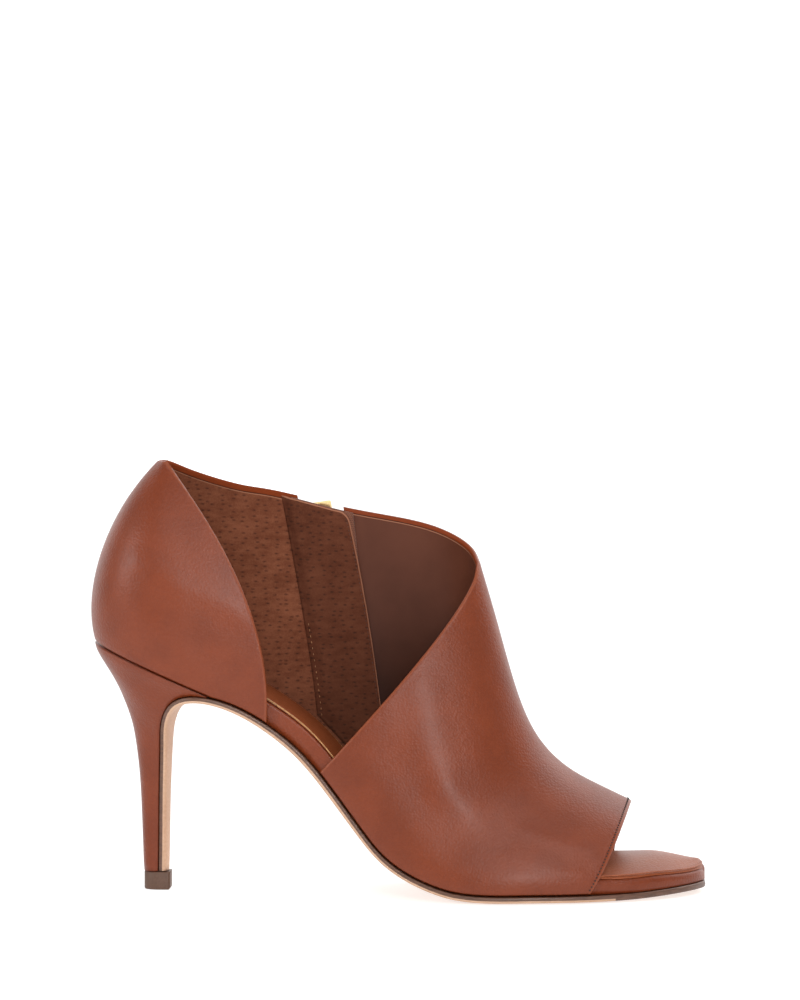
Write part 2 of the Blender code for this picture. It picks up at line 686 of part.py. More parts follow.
def make_sock(material):
    """Leather sock on the footbed, kept back a little from its edge."""
    rings = []
    for x in board_stations(*board_ends(SOCK_MARGIN), 40):
        base = float(base_height(x))
        mid, half = board_span(x, SOCK_MARGIN)
        shares = np.sin(np.linspace(-math.pi / 2, math.pi / 2, 13))
        under = [(y, board_top(x, y) + FIT) for y in mid + half * shares]
        over = [(y, z + SOCK) for y, z in under[::-1]]
        rings.append([(x, y, base + z) for y, z in under + over])
    return loft("sock", rings, material)


def zip_span(height, reach):
    """Rib knots of the zip's two edges, each moved out by reach metres, at a share of the height."""
    back, front = wall_at("zip back"), wall_at("zip front")
    width = np.linalg.norm(wall_point(front, height) - wall_point(back, height))
    extra = reach / width * (front - back)
    return back - extra, front + extra


SLOT_FOOT = ZIP_FOOT_ROW / WALL_ROWS


def make_zip_tape(material):
    """Tape behind the slot, with the chain of teeth standing on its outer face as one bar."""
    rib = wall_at("zip back")
    rise_length = np.linalg.norm(wall_point(rib, SLOT_FOOT + 0.01) - wall_point(rib, SLOT_FOOT)) / 0.01
    chain_foot = SLOT_FOOT + CHAIN_START / rise_length
    rows = [k / WALL_ROWS for k in range(ZIP_FOOT_ROW + 1, WALL_ROWS)]
    flat = FIT / 3
    stations = [(SLOT_FOOT - 0.6 / WALL_ROWS, flat), (chain_foot, flat), (chain_foot + 0.002, TEETH_RISE)]
    stations += [(row, TEETH_RISE) for row in [*rows, TAPE_HEAD]]
    rings = []
    for height, teeth in stations:
        back, front = zip_span(height, TAPE_REACH)
        middle = (back + front) / 2
        width = np.linalg.norm(wall_point(front, height) - wall_point(back, height))
        half_teeth = TEETH_WIDTH / 2 / width * (front - back)
        outside = WALL + FIT
        near, far = middle - half_teeth, middle + half_teeth
        outer = [(back, 0.0), ((back + near) / 2, 0.0), (near, 0.0), (near, teeth), (middle, teeth)]
        outer += [(far, teeth), (far, 0.0), ((front + far) / 2, 0.0), (front, 0.0)]
        ring = [inside_wall(t, height, outside - rise) for t, rise in outer]
        under = (front, (front + far) / 2, far, middle, near, (back + near) / 2, back)
        ring += [inside_wall(t, height, outside + TAPE) for t in under]
        rings.append(ring)
    return loft("zip_tape", rings, material)


GUARD_COLUMNS = 7
GUARD_ROWS = 12
GUARD_TURN = 0.035       # share of the wall's height in which the guard's corner turns
GUARD_TOP_ROWS = GUARD_HEAD - GUARD_TURN * (1 - np.sin(np.linspace(0.0, math.pi / 2, 5)[1:]))
GUARD_SEWN = 0.22        # share of the guard's width in which it rises off the lining over the tape
GUARD_LIFT = 0.09        # share of the wall's height in which it does so above its foot


def guard_edges(height):
    """Rib knots of the guard's sewn edge and of its free edge, whose upper corner is rounded."""
    corner = max(height - GUARD_HEAD + GUARD_TURN, 0.0) / GUARD_TURN
    rounding = GUARD_CORNER * (1 - math.sqrt(1 - min(corner, 1.0) ** 2))
    back, _ = zip_span(height, GUARD_BACK)
    _, front = zip_span(height, GUARD_FRONT * (1 - height) + GUARD_OVERLAP - rounding)
    return back, front


def make_zip_guard(material):
    """Leather panel between the zip and the foot, sewn down behind and free along its front edge."""
    points = []
    for share in np.linspace(0.0, 1.0, GUARD_COLUMNS):
        column = []
        for height in [*np.linspace(GUARD_FOOT, GUARD_HEAD - GUARD_TURN, GUARD_ROWS), *GUARD_TOP_ROWS]:
            back, front = guard_edges(height)
            lifted = min(eased(share / GUARD_SEWN), eased((height - GUARD_FOOT) / GUARD_LIFT))
            depth = WALL + FIT + (TAPE + FIT) * lifted
            column.append(inside_wall(back + (front - back) * share, height, depth))
        points.append(column)
    return thickened("zip_guard", points, GUARD, material)


SLIDER_LIFT = TEETH_RISE - WALL        # the slider's plate above the wall's outer face


def slider_frame():
    """Place of the slider: columns are across the zip, up the zip and out of the shoe."""
    middle = (wall_at("zip back") + wall_at("zip front")) / 2
    out = Vector(wall_normal(middle, SLIDER_AT))
    up = Vector(wall_point(middle, SLIDER_AT + 0.01) - wall_point(middle, SLIDER_AT - 0.01))
    up = (up - out * up.dot(out)).normalized()
    across = up.cross(out)
    place = Vector(wall_point(middle, SLIDER_AT)) + out * SLIDER_LIFT
    turn = Matrix((across, up, out)).transposed().to_4x4()
    turn.translation = place
    return turn


def box(name, centre, size, bevel=0.0):
    """A box object with its edges rounded, in the slider's own frame."""
    bm = bmesh.new()
    bmesh.ops.create_cube(bm, size=1.0)
    bmesh.ops.scale(bm, vec=size, verts=bm.verts[:])
    if bevel:
        bmesh.ops.bevel(
            bm, geom=bm.edges[:], offset=bevel, segments=2, profile=0.5, affect="EDGES", material=-1
        )
    bmesh.ops.translate(bm, vec=centre, verts=bm.verts[:])
    mesh = bpy.data.meshes.new(name)
    bm.to_mesh(mesh)
    bm.free()
    return bpy.data.objects.new(name, mesh)


def combine(target, tool, operation):
    """Joins or cuts target with tool, and puts the tool away with the cutters."""
    cutters.objects.link(tool)
    tool.hide_render = True
    tool.display_type = "WIRE"
    modifier = target.modifiers.new(tool.name, "BOOLEAN")
    modifier.operation = operation
    modifier.object = tool
    modifier.solver = "EXACT"


def make_slider(material):
    """Slider body with the bridge that holds the pull tab, as one casting."""
    body = box("zip_slider", (0, 0, SLIDER_PLATE / 2), (SLIDER_WIDTH, SLIDER_LENGTH, SLIDER_PLATE), 0.0005)
    top = SLIDER_PLATE + BAIL_RISE
    post_height = BAIL_RISE + SLIDER_PLATE / 2
    for number, sign in enumerate((-1, 1)):
        centre = (0, sign * (BAIL_SPAN - BAIL_BAR) / 2, SLIDER_PLATE / 2 + post_height / 2)
        combine(body, box(f"post_{number}", centre, (BAIL_WIDTH, BAIL_BAR, post_height)), "UNION")
    bridge = box("bridge", (0, 0, top - BAIL_BAR / 2), (BAIL_WIDTH + 0.0002, BAIL_SPAN + 0.0002, BAIL_BAR), 0.0002)
    combine(body, bridge, "UNION")
    body.data.materials.append(material)
    shoe.objects.link(body)
    return body


def make_pull(material):
    """Pull tab: a plate with a window for the bridge, hung from the bar across its head."""
    rest = -PULL_LENGTH / 2 + PULL_THICKNESS / 2
    plate = box("zip_pull", (0, rest, 0), (PULL_WIDTH, PULL_LENGTH, PULL_THICKNESS), 0.0005)
    window_middle = -PULL_THICKNESS / 2 - PULL_WINDOW_LENGTH / 2
    window = box(
        "window",
        (0, window_middle, 0),
        (PULL_WINDOW_WIDTH, PULL_WINDOW_LENGTH, PULL_THICKNESS * 3),
    )
    combine(plate, window, "DIFFERENCE")
    plate.data.materials.append(material)
    shoe.objects.link(plate)
    return plate


def main():
    for old in list(bpy.data.objects):
        bpy.data.objects.remove(old)
    bpy.context.scene.collection.children.link(shoe)
    bpy.context.scene.collection.children.link(cutters)
    leather = principled("cognac leather", (0.33, 0.10, 0.045), 0.42)
    lining = principled("brown suede", (0.17, 0.06, 0.035), 0.85)
    sock_leather = principled("sock leather", (0.28, 0.10, 0.03), 0.45)
    sole = principled("outsole", (0.60, 0.40, 0.27), 0.55)
    rubber = principled("heel rubber", (0.16, 0.09, 0.06), 0.6)
    tape = principled("zip tape", (0.20, 0.075, 0.04), 0.8)
    gold = principled("gold metal", (0.85, 0.62, 0.30), 0.25, 1.0)
    make_upper(leather)
    make_outsole(sole)
    make_heel(leather)
    make_top_piece(rubber)
    make_footbed(leather)
    make_sock(sock_leather)
    make_zip_tape(tape)
    make_zip_guard(lining)
    frame = slider_frame()
    slider = make_slider(gold)
    slider.matrix_world = frame
    pivot = bpy.data.objects.new("pull pivot", None)
    shoe.objects.link(pivot)
    pivot.matrix_world = frame @ Matrix.Translation((0, 0, SLIDER_PLATE + (BAIL_RISE - BAIL_BAR) / 2))
    pull = make_pull(gold)
    pull.parent = pivot
    for tool in cutters.objects:
        tool.parent = pivot if tool.name == "window" else slider


shoe = bpy.data.collections.new("peep-toe shoe boot")
cutters = bpy.data.collections.new("cutters")
main()
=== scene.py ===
# %% [markdown]
# # A leather shoe boot, dressed
# This lesson takes the plain solids of a peep-toe shoe boot and gives them the looks of the real thing:
# smooth cognac leather, a suede lining with pinholes, rows of stitches, a painted sole edge and a zip.
# It is a right shoe. Its toe points to +X, its cut-away outer side faces -Y and it stands on z = 0.

# %% Load the solids
import math

import bmesh
import bpy
import numpy as np
from mathutils import Matrix, Vector
from mathutils.kdtree import KDTree
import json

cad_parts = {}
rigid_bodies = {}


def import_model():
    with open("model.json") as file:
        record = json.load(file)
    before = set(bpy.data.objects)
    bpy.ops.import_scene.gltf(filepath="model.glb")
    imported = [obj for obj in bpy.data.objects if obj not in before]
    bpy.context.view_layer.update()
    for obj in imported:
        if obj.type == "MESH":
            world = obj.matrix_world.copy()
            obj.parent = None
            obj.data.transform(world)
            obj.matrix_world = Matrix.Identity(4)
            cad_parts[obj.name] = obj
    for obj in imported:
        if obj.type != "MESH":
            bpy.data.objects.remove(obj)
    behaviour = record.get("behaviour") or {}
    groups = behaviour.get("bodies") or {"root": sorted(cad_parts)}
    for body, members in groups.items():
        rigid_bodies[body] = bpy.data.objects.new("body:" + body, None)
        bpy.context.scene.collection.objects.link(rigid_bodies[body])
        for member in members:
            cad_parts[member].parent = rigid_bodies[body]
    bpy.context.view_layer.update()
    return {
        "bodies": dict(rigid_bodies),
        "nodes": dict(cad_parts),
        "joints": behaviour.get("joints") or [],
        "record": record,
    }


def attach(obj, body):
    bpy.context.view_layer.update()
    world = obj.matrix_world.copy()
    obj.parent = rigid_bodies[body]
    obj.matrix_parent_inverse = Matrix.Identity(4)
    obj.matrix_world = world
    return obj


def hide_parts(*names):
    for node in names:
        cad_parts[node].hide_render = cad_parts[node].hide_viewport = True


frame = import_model()

# %% [markdown]
# ## The camera
# A product photo of a shoe is taken from far off with a long lens, so that its lines stay straight. The
# camera stands on the shoe's outer side, a little towards the toe, and looks down by a few degrees. The
# shoe sits low in the picture because the lens points at a place above it.

# %% Place the camera
SHOE_MIDDLE = Vector((0.0870, 0.0, 0.0766))
CAMERA_DISTANCE = 1.50
CAMERA_TURN = math.radians(3.0)        # from the outer side towards the toe
CAMERA_RISE = math.radians(4.5)        # above the horizontal through the shoe's middle
PICTURE_HEIGHT = 1000
SENSOR = 36.0
FOCAL_PIXELS = 4200
MIDDLE_ROW = 676                       # picture row in which the shoe's middle lies

level = math.cos(CAMERA_RISE) * CAMERA_DISTANCE
lens_drop = math.atan((MIDDLE_ROW - PICTURE_HEIGHT / 2) / FOCAL_PIXELS)
camera_data = bpy.data.cameras.new("camera")
camera_data.sensor_fit = "VERTICAL"
camera_data.sensor_height = SENSOR
camera_data.lens = SENSOR * FOCAL_PIXELS / PICTURE_HEIGHT
camera = bpy.data.objects.new("camera", camera_data)
camera.location = SHOE_MIDDLE + Vector((
    math.sin(CAMERA_TURN) * level,
    -math.cos(CAMERA_TURN) * level,
    math.sin(CAMERA_RISE) * CAMERA_DISTANCE,
))
camera.rotation_euler = (math.pi / 2 - CAMERA_RISE + lens_drop, 0.0, CAMERA_TURN)
bpy.context.scene.collection.objects.link(camera)
bpy.context.scene.camera = camera
print(f"The lens is {camera_data.lens:.0f} mm long.")

# %% [markdown]
# ## Maths for materials
# A material is a little sum for every point of a surface: how dark, how rough, how high. Blender draws
# such sums as boxes and wires. Here a wire is wrapped in a class that knows +, - and *, so that a sum
# reads like Python and each operator adds one Math node.

# %% A wire that can be added and multiplied
class Wire:
    """The output of a node in one material, with the operators that the finishes use."""

    def __init__(self, finish, socket):
        self.finish = finish
        self.socket = socket

    def maths(self, operation, *values):
        inputs = dict(enumerate(values))
        return self.finish.node("ShaderNodeMath", {"operation": operation}, inputs)

    def __add__(self, other):
        return self.maths("ADD", self, other)

    def __sub__(self, other):
        return self.maths("SUBTRACT", self, other)

    def __rsub__(self, other):
        return self.maths("SUBTRACT", other, self)

    def __mul__(self, other):
        return self.maths("MULTIPLY", self, other)

    __radd__ = __add__
    __rmul__ = __mul__

    def ramp(self, low, high):
        """0 below low, 1 above high and a smooth step between them."""
        inputs = {0: self, 1: low, 2: high}
        return self.finish.node("ShaderNodeMapRange", {"interpolation_type": "SMOOTHSTEP"}, inputs)


class Finish:
    """A material under construction: a Principled shader and the nodes that feed it."""

    def __init__(self, name, roughness, **sockets):
        self.material = bpy.data.materials.new(name)
        self.material.use_nodes = True
        self.tree = self.material.node_tree
        self.shader = self.tree.nodes["Principled BSDF"]
        self.shader.inputs["Roughness"].default_value = roughness
        for socket, value in sockets.items():
            self.shader.inputs[socket.replace("_", " ")].default_value = value

    def node(self, kind, settings, inputs, output=0):
        """Adds a node, sets it up, fills its sockets and hands back one of its outputs."""
        made = self.tree.nodes.new(kind)
        for key, value in settings.items():
            if key == "stops":
                for element, (place, colour) in zip(made.color_ramp.elements, value):
                    element.position = place
                    element.color = (*colour, 1.0)
            else:
                setattr(made, key, value)
        for key, value in inputs.items():
            self.feed(made.inputs[key], value)
        return Wire(self, made.outputs[output])

    def feed(self, socket, value):
        if isinstance(value, Wire):
            self.tree.links.new(value.socket, socket)
        else:
            socket.default_value = value

    def place(self):
        """The point's own place on the piece, in metres."""
        return self.node("ShaderNodeTexCoord", {}, {}, output=3)

    def axes(self):
        """The point's x, y and z as three wires."""
        split = self.node("ShaderNodeSeparateXYZ", {}, {0: self.place()})
        return [Wire(self, split.socket.node.outputs[axis]) for axis in range(3)]

    def stretched(self, x, y, z):
        """The point's place with each axis stretched by its own factor."""
        return self.node("ShaderNodeMapping", {}, {0: self.place(), 3: (x, y, z)})

    def side_view(self, x, z):
        """The point's place as seen from the side, each direction stretched by its own factor."""
        along_x, _, up_z = self.axes()
        return self.node("ShaderNodeCombineXYZ", {}, {0: along_x * x, 1: up_z * z})

    def noise(self, grain, detail=2.0, roughness=0.5, place=None):
        """Cloudy noise whose lumps are about grain metres across."""
        inputs = {"Vector": place or self.place(), "Scale": 1 / grain, "Detail": detail, "Roughness": roughness}
        return self.node("ShaderNodeTexNoise", {}, inputs)

    def cells(self, grain, randomness=1.0, place=None, dimensions="3D"):
        """Distance to the nearest of many scattered points, about grain metres apart."""
        inputs = {"Vector": place or self.place(), "Scale": 1 / grain, "Randomness": randomness}
        return self.node("ShaderNodeTexVoronoi", {"voronoi_dimensions": dimensions}, inputs)

    def mix(self, share, first, second):
        """Blends two colours: share 0 is the first and 1 is the second."""
        colours = [(*c, 1.0) if isinstance(c, tuple) else c for c in (first, second)]
        inputs = {0: share, 6: colours[0], 7: colours[1]}
        return self.node("ShaderNodeMix", {"data_type": "RGBA"}, inputs, output=2)

    def colour(self, value):
        self.feed(self.shader.inputs["Base Color"], value)

    def roughness(self, value):
        self.feed(self.shader.inputs["Roughness"], value)

    def relief(self, height, depth):
        """Bumps the surface by height, which runs from 0 to 1, times depth in metres."""
        inputs = {"Strength": 1.0, "Distance": depth, "Height": height}
        self.feed(self.shader.inputs["Normal"], self.node("ShaderNodeBump", {}, inputs))

    def layer(self, name):
        """A value stored on the piece's own vertices."""
        return self.node("ShaderNodeAttribute", {"attribute_name": name}, {}, output=2)


# %% [markdown]
# ## The last
# A shoemaker draws a shoe over a last, and so does this script. The last is a handful of named sizes and
# short tables of shares of them: the path of the sole seen from the side, the outline seen from above
# and the ribs of the upper. Curves run smoothly through the rows of a table, so a few rows are enough.

# %% Sizes of the last and its leathers, in metres
LENGTH = 0.2204
HEEL_SETBACK = 0.0238
HEEL_HEIGHT = 0.089
COLLAR_PEAK = HEEL_HEIGHT + 0.0648
THROAT_HEIGHT = 0.120
BALL_WIDTH = 0.078
COLLAR_WIDTH = 0.050
WALL = 0.0016
FIT = 0.0003
SEAT_FIT = 0.0006
OUTSOLE_EDGE = 0.0021
FOOTBED_WAIST = 0.0066
FOOTBED_TOE = 0.0052
FOOTBED_CROWN = 0.0008
TOE_CROWN = 0.0042
TIP_FALL = 0.0022
TIP_THIN = 0.0014
SOCK = 0.0010
SOCK_MARGIN = 0.0009
TOE_REVEAL = 0.0008
TAPE = 0.0006


def along(share):
    """A place along the shoe, from a share of its length."""
    return -HEEL_SETBACK + share * LENGTH


# %% Smooth curves through a few rows
def natural_spline(knots, rows):
    """A smooth curve through the rows, one row for each knot."""
    knots = np.asarray(knots, float)
    rows = np.asarray(rows, float).reshape(len(knots), -1)
    steps = np.diff(knots)
    system = np.eye(len(knots))
    right = np.zeros_like(rows)
    for i in range(1, len(knots) - 1):
        system[i, i - 1 : i + 2] = steps[i - 1], 2 * (steps[i - 1] + steps[i]), steps[i]
        right[i] = 6 * ((rows[i + 1] - rows[i]) / steps[i] - (rows[i] - rows[i - 1]) / steps[i - 1])
    bend = np.linalg.solve(system, right)

    def value(t):
        t = np.atleast_1d(np.asarray(t, float))
        i = np.clip(np.searchsorted(knots, t) - 1, 0, len(steps) - 1)
        h = steps[i][:, None]
        a = (knots[i + 1] - t)[:, None] / h
        b = 1 - a
        cubic = ((a**3 - a) * bend[i] + (b**3 - b) * bend[i + 1]) * h**2 / 6
        return a * rows[i] + b * rows[i + 1] + cubic

    return value


def chord_knots(points):
    """Knots spaced by the distance between successive points."""
    gaps = np.linalg.norm(np.diff(np.asarray(points, float), axis=0), axis=1)
    return np.concatenate([[0.0], np.cumsum(gaps)])


def bezier(controls, t):
    """Points of a cubic curve with four control points, at each t."""
    p = np.asarray(controls, float)
    t = np.asarray(t, float)[:, None]
    s = 1 - t
    return s**3 * p[0] + 3 * s**2 * t * p[1] + 3 * s * t**2 * p[2] + t**3 * p[3]


# %% The sole seen from the side
SOLE_PATH = (
    # along, height as a share of HEEL_HEIGHT, bulge of the underside in metres
    (0.997, 0.022, 0.0003), (0.961, 0.016, 0.0004), (0.925, 0.010, 0.0005), (0.888, 0.005, 0.0005),
    (0.852, 0.002, 0.0005), (0.798, 0.000, 0.0005), (0.707, 0.000, 0.0005), (0.625, 0.001, 0.0006),
    (0.589, 0.010, 0.0008), (0.548, 0.038, 0.0010), (0.510, 0.079, 0.0012), (0.471, 0.144, 0.0015),
    (0.430, 0.256, 0.0018), (0.384, 0.404, 0.0019), (0.335, 0.545, 0.0019), (0.289, 0.639, 0.0018),
    (0.244, 0.710, 0.0014), (0.203, 0.752, 0.0009), (0.174, 0.760, 0.0008), (0.150, 0.740, 0.0010),
    (0.138, 0.691, 0.0013), (0.133, 0.607, 0.0013), (0.131, 0.494, 0.0013), (0.129, 0.337, 0.0013),
    (0.128, 0.180, 0.0013), (0.127, 0.076, 0.0013),
)
WAIST_ROW = 17           # row in which the sole meets the front of the heel seat
HEEL_SECTIONS = (
    # share of the flap on the heel's breast, back along, back height, half width, rounded share
    (0.00, 0.008, 0.994, 0.312, 0.80), (0.09, 0.011, 0.968, 0.288, 0.80), (0.17, 0.019, 0.932, 0.242, 0.79),
    (0.24, 0.030, 0.890, 0.196, 0.77), (0.31, 0.042, 0.838, 0.154, 0.75), (0.40, 0.055, 0.766, 0.121, 0.72),
    (0.50, 0.067, 0.680, 0.100, 0.69), (0.60, 0.074, 0.588, 0.087, 0.66), (0.70, 0.079, 0.482, 0.078, 0.64),
    (0.80, 0.082, 0.362, 0.071, 0.62), (0.90, 0.084, 0.226, 0.065, 0.60), (1.00, 0.086, 0.078, 0.060, 0.60),
)
FLAP_EASE = 0.24

path_rows = np.array([(along(a), h * HEEL_HEIGHT, b) for a, h, b in SOLE_PATH])
path_knots = chord_knots(path_rows[:, :2])
path = natural_spline(path_knots, path_rows)
heel_rows = np.array(HEEL_SECTIONS)
heel_sections = natural_spline(heel_rows[:, 0], heel_rows[:, 1:])
WAIST = path_knots[WAIST_ROW]


def sole_point(t):
    """Middle of the sole's underside, the direction into the shoe, and the bulge, at path distance t."""
    step = 1e-4
    x, z, bulge = path(t)[0]
    run = path(t + step)[0][:2] - path(t - step)[0][:2]
    run /= np.linalg.norm(run)
    return np.array([x, z]), np.array([run[1], -run[0]]), bulge


def sole_top(t, clearance=0.0):
    """A point on the sole's upper face, in side view."""
    middle, inward, bulge = sole_point(t)
    return middle + inward * (bulge + OUTSOLE_EDGE + clearance)


def foot_line(clearance):
    """Points above the sole's upper face, from the heel seat to the toe."""
    return np.array([sole_top(t, clearance) for t in np.linspace(0.0, WAIST, 160)])[::-1]


# %% The outline seen from above
OUTLINE = (
    # along, outer and inner half width as shares of BALL_WIDTH
    (1.000, -0.038, 0.038), (0.970, 0.167, 0.218), (0.907, 0.330, 0.370), (0.834, 0.426, 0.450),
    (0.761, 0.480, 0.484), (0.689, 0.508, 0.480), (0.616, 0.500, 0.440), (0.544, 0.452, 0.384),
    (0.471, 0.388, 0.326), (0.398, 0.330, 0.275), (0.326, 0.298, 0.262), (0.244, 0.302, 0.286),
    (0.172, 0.312, 0.308),
)
SEAT_BACK = 0.008
SEAT_ROUND = 2.3
TIP_X = along(1.0)
BACK_X = along(SEAT_BACK)
PARALLEL_X = along(OUTLINE[-1][0])

board_line = foot_line(FIT)
wall_line = foot_line(SEAT_FIT)
SEAT_FRONT_X = board_line[0, 0]
outline_rows = np.array(OUTLINE)
outline = natural_spline(np.sqrt(1.0 - outline_rows[:, 0]), outline_rows[:, 1:] * BALL_WIDTH)


def base_height(x, clearance=FIT):
    """Height of the line where upper and footbed meet the sole or the heel."""
    line = board_line if clearance == FIT else wall_line
    front_x, front_z = line[0]
    seat = front_z + (front_x - x) / (front_x - BACK_X) * (HEEL_HEIGHT + clearance - FIT - front_z)
    return float(seat if x < front_x else np.interp(x, line[:, 0], line[:, 1]))


def half_widths(x):
    """(outer, inner) distance of the outline from the middle line, at x."""
    share = min(max((TIP_X - x) / LENGTH, 0.0), 1.0 - OUTLINE[-1][0])
    widths = outline(math.sqrt(share))[0]
    if x < PARALLEL_X:
        reach = min(max((x - BACK_X) / (PARALLEL_X - BACK_X), 0.0), 1.0)
        widths = widths * (1 - (1 - reach) ** SEAT_ROUND) ** (1 / SEAT_ROUND)
    return widths


# %% The ribs of the upper
WALL_RIBS = (
    # name, base along, low (along, side, height), high (along, side, height), top (along, side)
    ("outer edge", 0.294, (0.308, -1.130, 0.350), (0.234, -1.020, 0.700), (0.126, -0.320)),
    ("outer side", 0.205, (0.205, -1.200, 0.330), (0.166, -1.040, 0.700), (0.122, -0.270)),
    ("outer heel", 0.100, (0.088, -1.130, 0.320), (0.096, -0.960, 0.700), (0.118, -0.200)),
    ("outer back", 0.034, (0.017, -0.760, 0.300), (0.045, -0.620, 0.710), (0.114, -0.110)),
    ("back", 0.008, (-0.016, 0.000, 0.280), (0.027, 0.000, 0.720), (0.112, 0.000)),
    ("inner back", 0.034, (0.017, 0.760, 0.300), (0.045, 0.620, 0.710), (0.122, 0.350)),
    ("inner heel", 0.100, (0.088, 1.110, 0.320), (0.100, 1.000, 0.700), (0.155, 0.650)),
    ("inner side", 0.195, (0.192, 1.160, 0.320), (0.198, 1.060, 0.700), (0.225, 0.870)),
    ("zip back", 0.392, (0.385, 1.000, 0.300), (0.354, 1.130, 0.700), (0.328, 1.000)),
    ("zip front", 0.444, (0.436, 1.200, 0.300), (0.422, 1.180, 0.700), (0.404, 0.990)),
    ("inner waist", 0.495, (0.490, 1.370, 0.300), (0.487, 1.200, 0.700), (0.485, 0.920)),
    ("inner instep", 0.527, (0.528, 1.450, 0.300), (0.548, 1.180, 0.740), (0.565, 0.740)),
    ("throat side", 0.542, (0.552, 1.480, 0.300), (0.602, 1.100, 0.820), (0.618, 0.400)),
    ("throat", 0.550, (0.568, 1.500, 0.300), (0.634, 0.880, 0.930), (0.632, 0.000)),
)
COLLAR_HEIGHTS = (
    # along, share of the drop from the peak of the collar to the throat
    (0.112, 0.000), (0.126, 0.010), (0.168, 0.150), (0.250, 0.310), (0.328, 0.400), (0.404, 0.520),
    (0.485, 0.615), (0.530, 0.685), (0.565, 0.737), (0.580, 0.772), (0.609, 0.870), (0.618, 0.925),
    (0.625, 0.985), (0.632, 1.070),
)
VAMP_RIBS = (
    # ridge (along, height), outer base, outer low (along, out, up), outer high (along, out, down),
    # inner base, inner low (along, out, up), inner high (along, out, down)
    ((0.632, 0.980), 0.380, (0.082, 0.100, 0.270), (0.004, 0.230, 0.105), 0.550, (0.018, 0.095, 0.300), None),
    ((0.6605, 0.800), 0.446, (0.066, 0.085, 0.250), (0.006, 0.270, 0.050),
     0.574, (0.018, 0.090, 0.300), (0.004, 0.290, 0.030)),
    ((0.685, 0.640), 0.510, (0.048, 0.070, 0.240), (0.006, 0.270, 0.025),
     0.606, (0.016, 0.080, 0.300), (0.003, 0.270, 0.020)),
    ((0.720, 0.480), 0.574, (0.034, 0.060, 0.240), (0.000, 0.250, 0.012),
     0.650, (0.012, 0.070, 0.300), (-0.003, 0.250, 0.012)),
    ((0.770, 0.377), 0.650, (0.026, 0.050, 0.260), (-0.006, 0.250, 0.008),
     0.716, (0.010, 0.060, 0.320), (-0.008, 0.250, 0.008)),
    ((0.826, 0.318), 0.736, (0.018, 0.040, 0.300), (-0.006, 0.250, 0.006),
     0.790, (0.008, 0.050, 0.340), (-0.007, 0.250, 0.006)),
    ((0.878, 0.272), 0.813, (0.028, 0.030, 0.320), (-0.005, 0.240, 0.006),
     0.846, (0.006, 0.036, 0.360), (-0.014, 0.240, 0.006)),
)
ZIP_FOOT = 4 / 14        # share of the wall's height at which the zip's slot ends


def base_point(x, side):
    """The outline's point on the sole's edge, side -1 for outer and +1 for inner."""
    outer, inner = half_widths(x)
    return np.array([x, -outer if side < 0 else inner, base_height(x, SEAT_FIT)])


def wall_controls():
    """Four control points of each rib of the wall."""
    rows = []
    collar = np.array(COLLAR_HEIGHTS)
    for _, base, low, high, top in WALL_RIBS:
        start = base_point(along(base), 1 if top[1] > 0 or low[1] > 0 else -1)
        if base == SEAT_BACK:
            start[1] = 0.0
        drop = np.interp(top[0], collar[:, 0], collar[:, 1])
        peak = COLLAR_PEAK + (THROAT_HEIGHT - COLLAR_PEAK) * drop
        end = np.array([along(top[0]), top[1] * COLLAR_WIDTH / 2, peak])
        rise = end[2] - start[2]
        handles = [np.array([along(a), s * COLLAR_WIDTH / 2, start[2] + h * rise]) for a, s, h in (low, high)]
        rows.append(np.concatenate([start, *handles, end]))
    return np.array(rows)


def vamp_controls(throat_inner):
    """Control points of the vamp's ribs: inner base, two handles, ridge, outer base, two handles."""
    rows = []
    for ridge, outer, outer_low, outer_high, inner, inner_low, inner_high in VAMP_RIBS:
        crest = np.array([along(ridge[0]), 0.0, ridge[1] * THROAT_HEIGHT])
        halves = []
        for side, base, low, high in ((1, inner, inner_low, inner_high), (-1, outer, outer_low, outer_high)):
            start = base_point(along(base), side)
            rise = crest[2] - start[2]
            first = start + np.array([low[0] * LENGTH, side * low[1] * BALL_WIDTH, low[2] * rise])
            if high is None:
                halves.append(throat_inner.reshape(4, 3))
                continue
            reach = np.array([high[0] * LENGTH, side * high[1] * BALL_WIDTH, -high[2] * THROAT_HEIGHT])
            halves.append(np.array([start, first, crest + reach, crest]))
        rows.append(np.concatenate([halves[0].ravel(), halves[1][:3].ravel()]))
    return np.array(rows)


wall_rows = wall_controls()
wall_knots = chord_knots(wall_rows[:, [0, 1, 6, 7]])
wall = natural_spline(wall_knots, wall_rows)
vamp_rows = vamp_controls(wall_rows[-1])
vamp_knots = chord_knots(vamp_rows[:, [9, 11, 12, 14]])
vamp = natural_spline(vamp_knots, vamp_rows)
RIB = {row[0]: knot for row, knot in zip(WALL_RIBS, wall_knots)}


def seated(start, low, side):
    """The lower two control points of a rib, moved so that the rib stands on the sole's edge."""
    seat = base_point(start[0], side)
    hold = min(max((start[0] - along(0.05)) / (0.07 * LENGTH), 0.0), 1.0)
    seat[1] = start[1] * (1 - hold) + seat[1] * hold
    return seat, low + seat - start


def wall_rib(t):
    """Control points of the wall's rib at knot t, from the sole's edge to the collar."""
    rib = wall(t)[0].reshape(4, 3)
    rib[0], rib[1] = seated(rib[0], rib[1], 1 if rib[0][1] > 0 else -1)
    return rib


def vamp_halves(t):
    """Control points of the vamp's rib at knot t: inner base to ridge, and outer base to ridge."""
    row = vamp(t)[0].reshape(7, 3)
    inner = row[:4]
    outer = row[[4, 5, 6, 3]]
    inner[0], inner[1] = seated(inner[0], inner[1], 1)
    outer[0], outer[1] = seated(outer[0], outer[1], -1)
    return inner, outer


def wall_point(t, height):
    """A point of the wall's outer face, at rib knot t and at a share of the way up the rib."""
    return bezier(wall_rib(t), [height])[0]


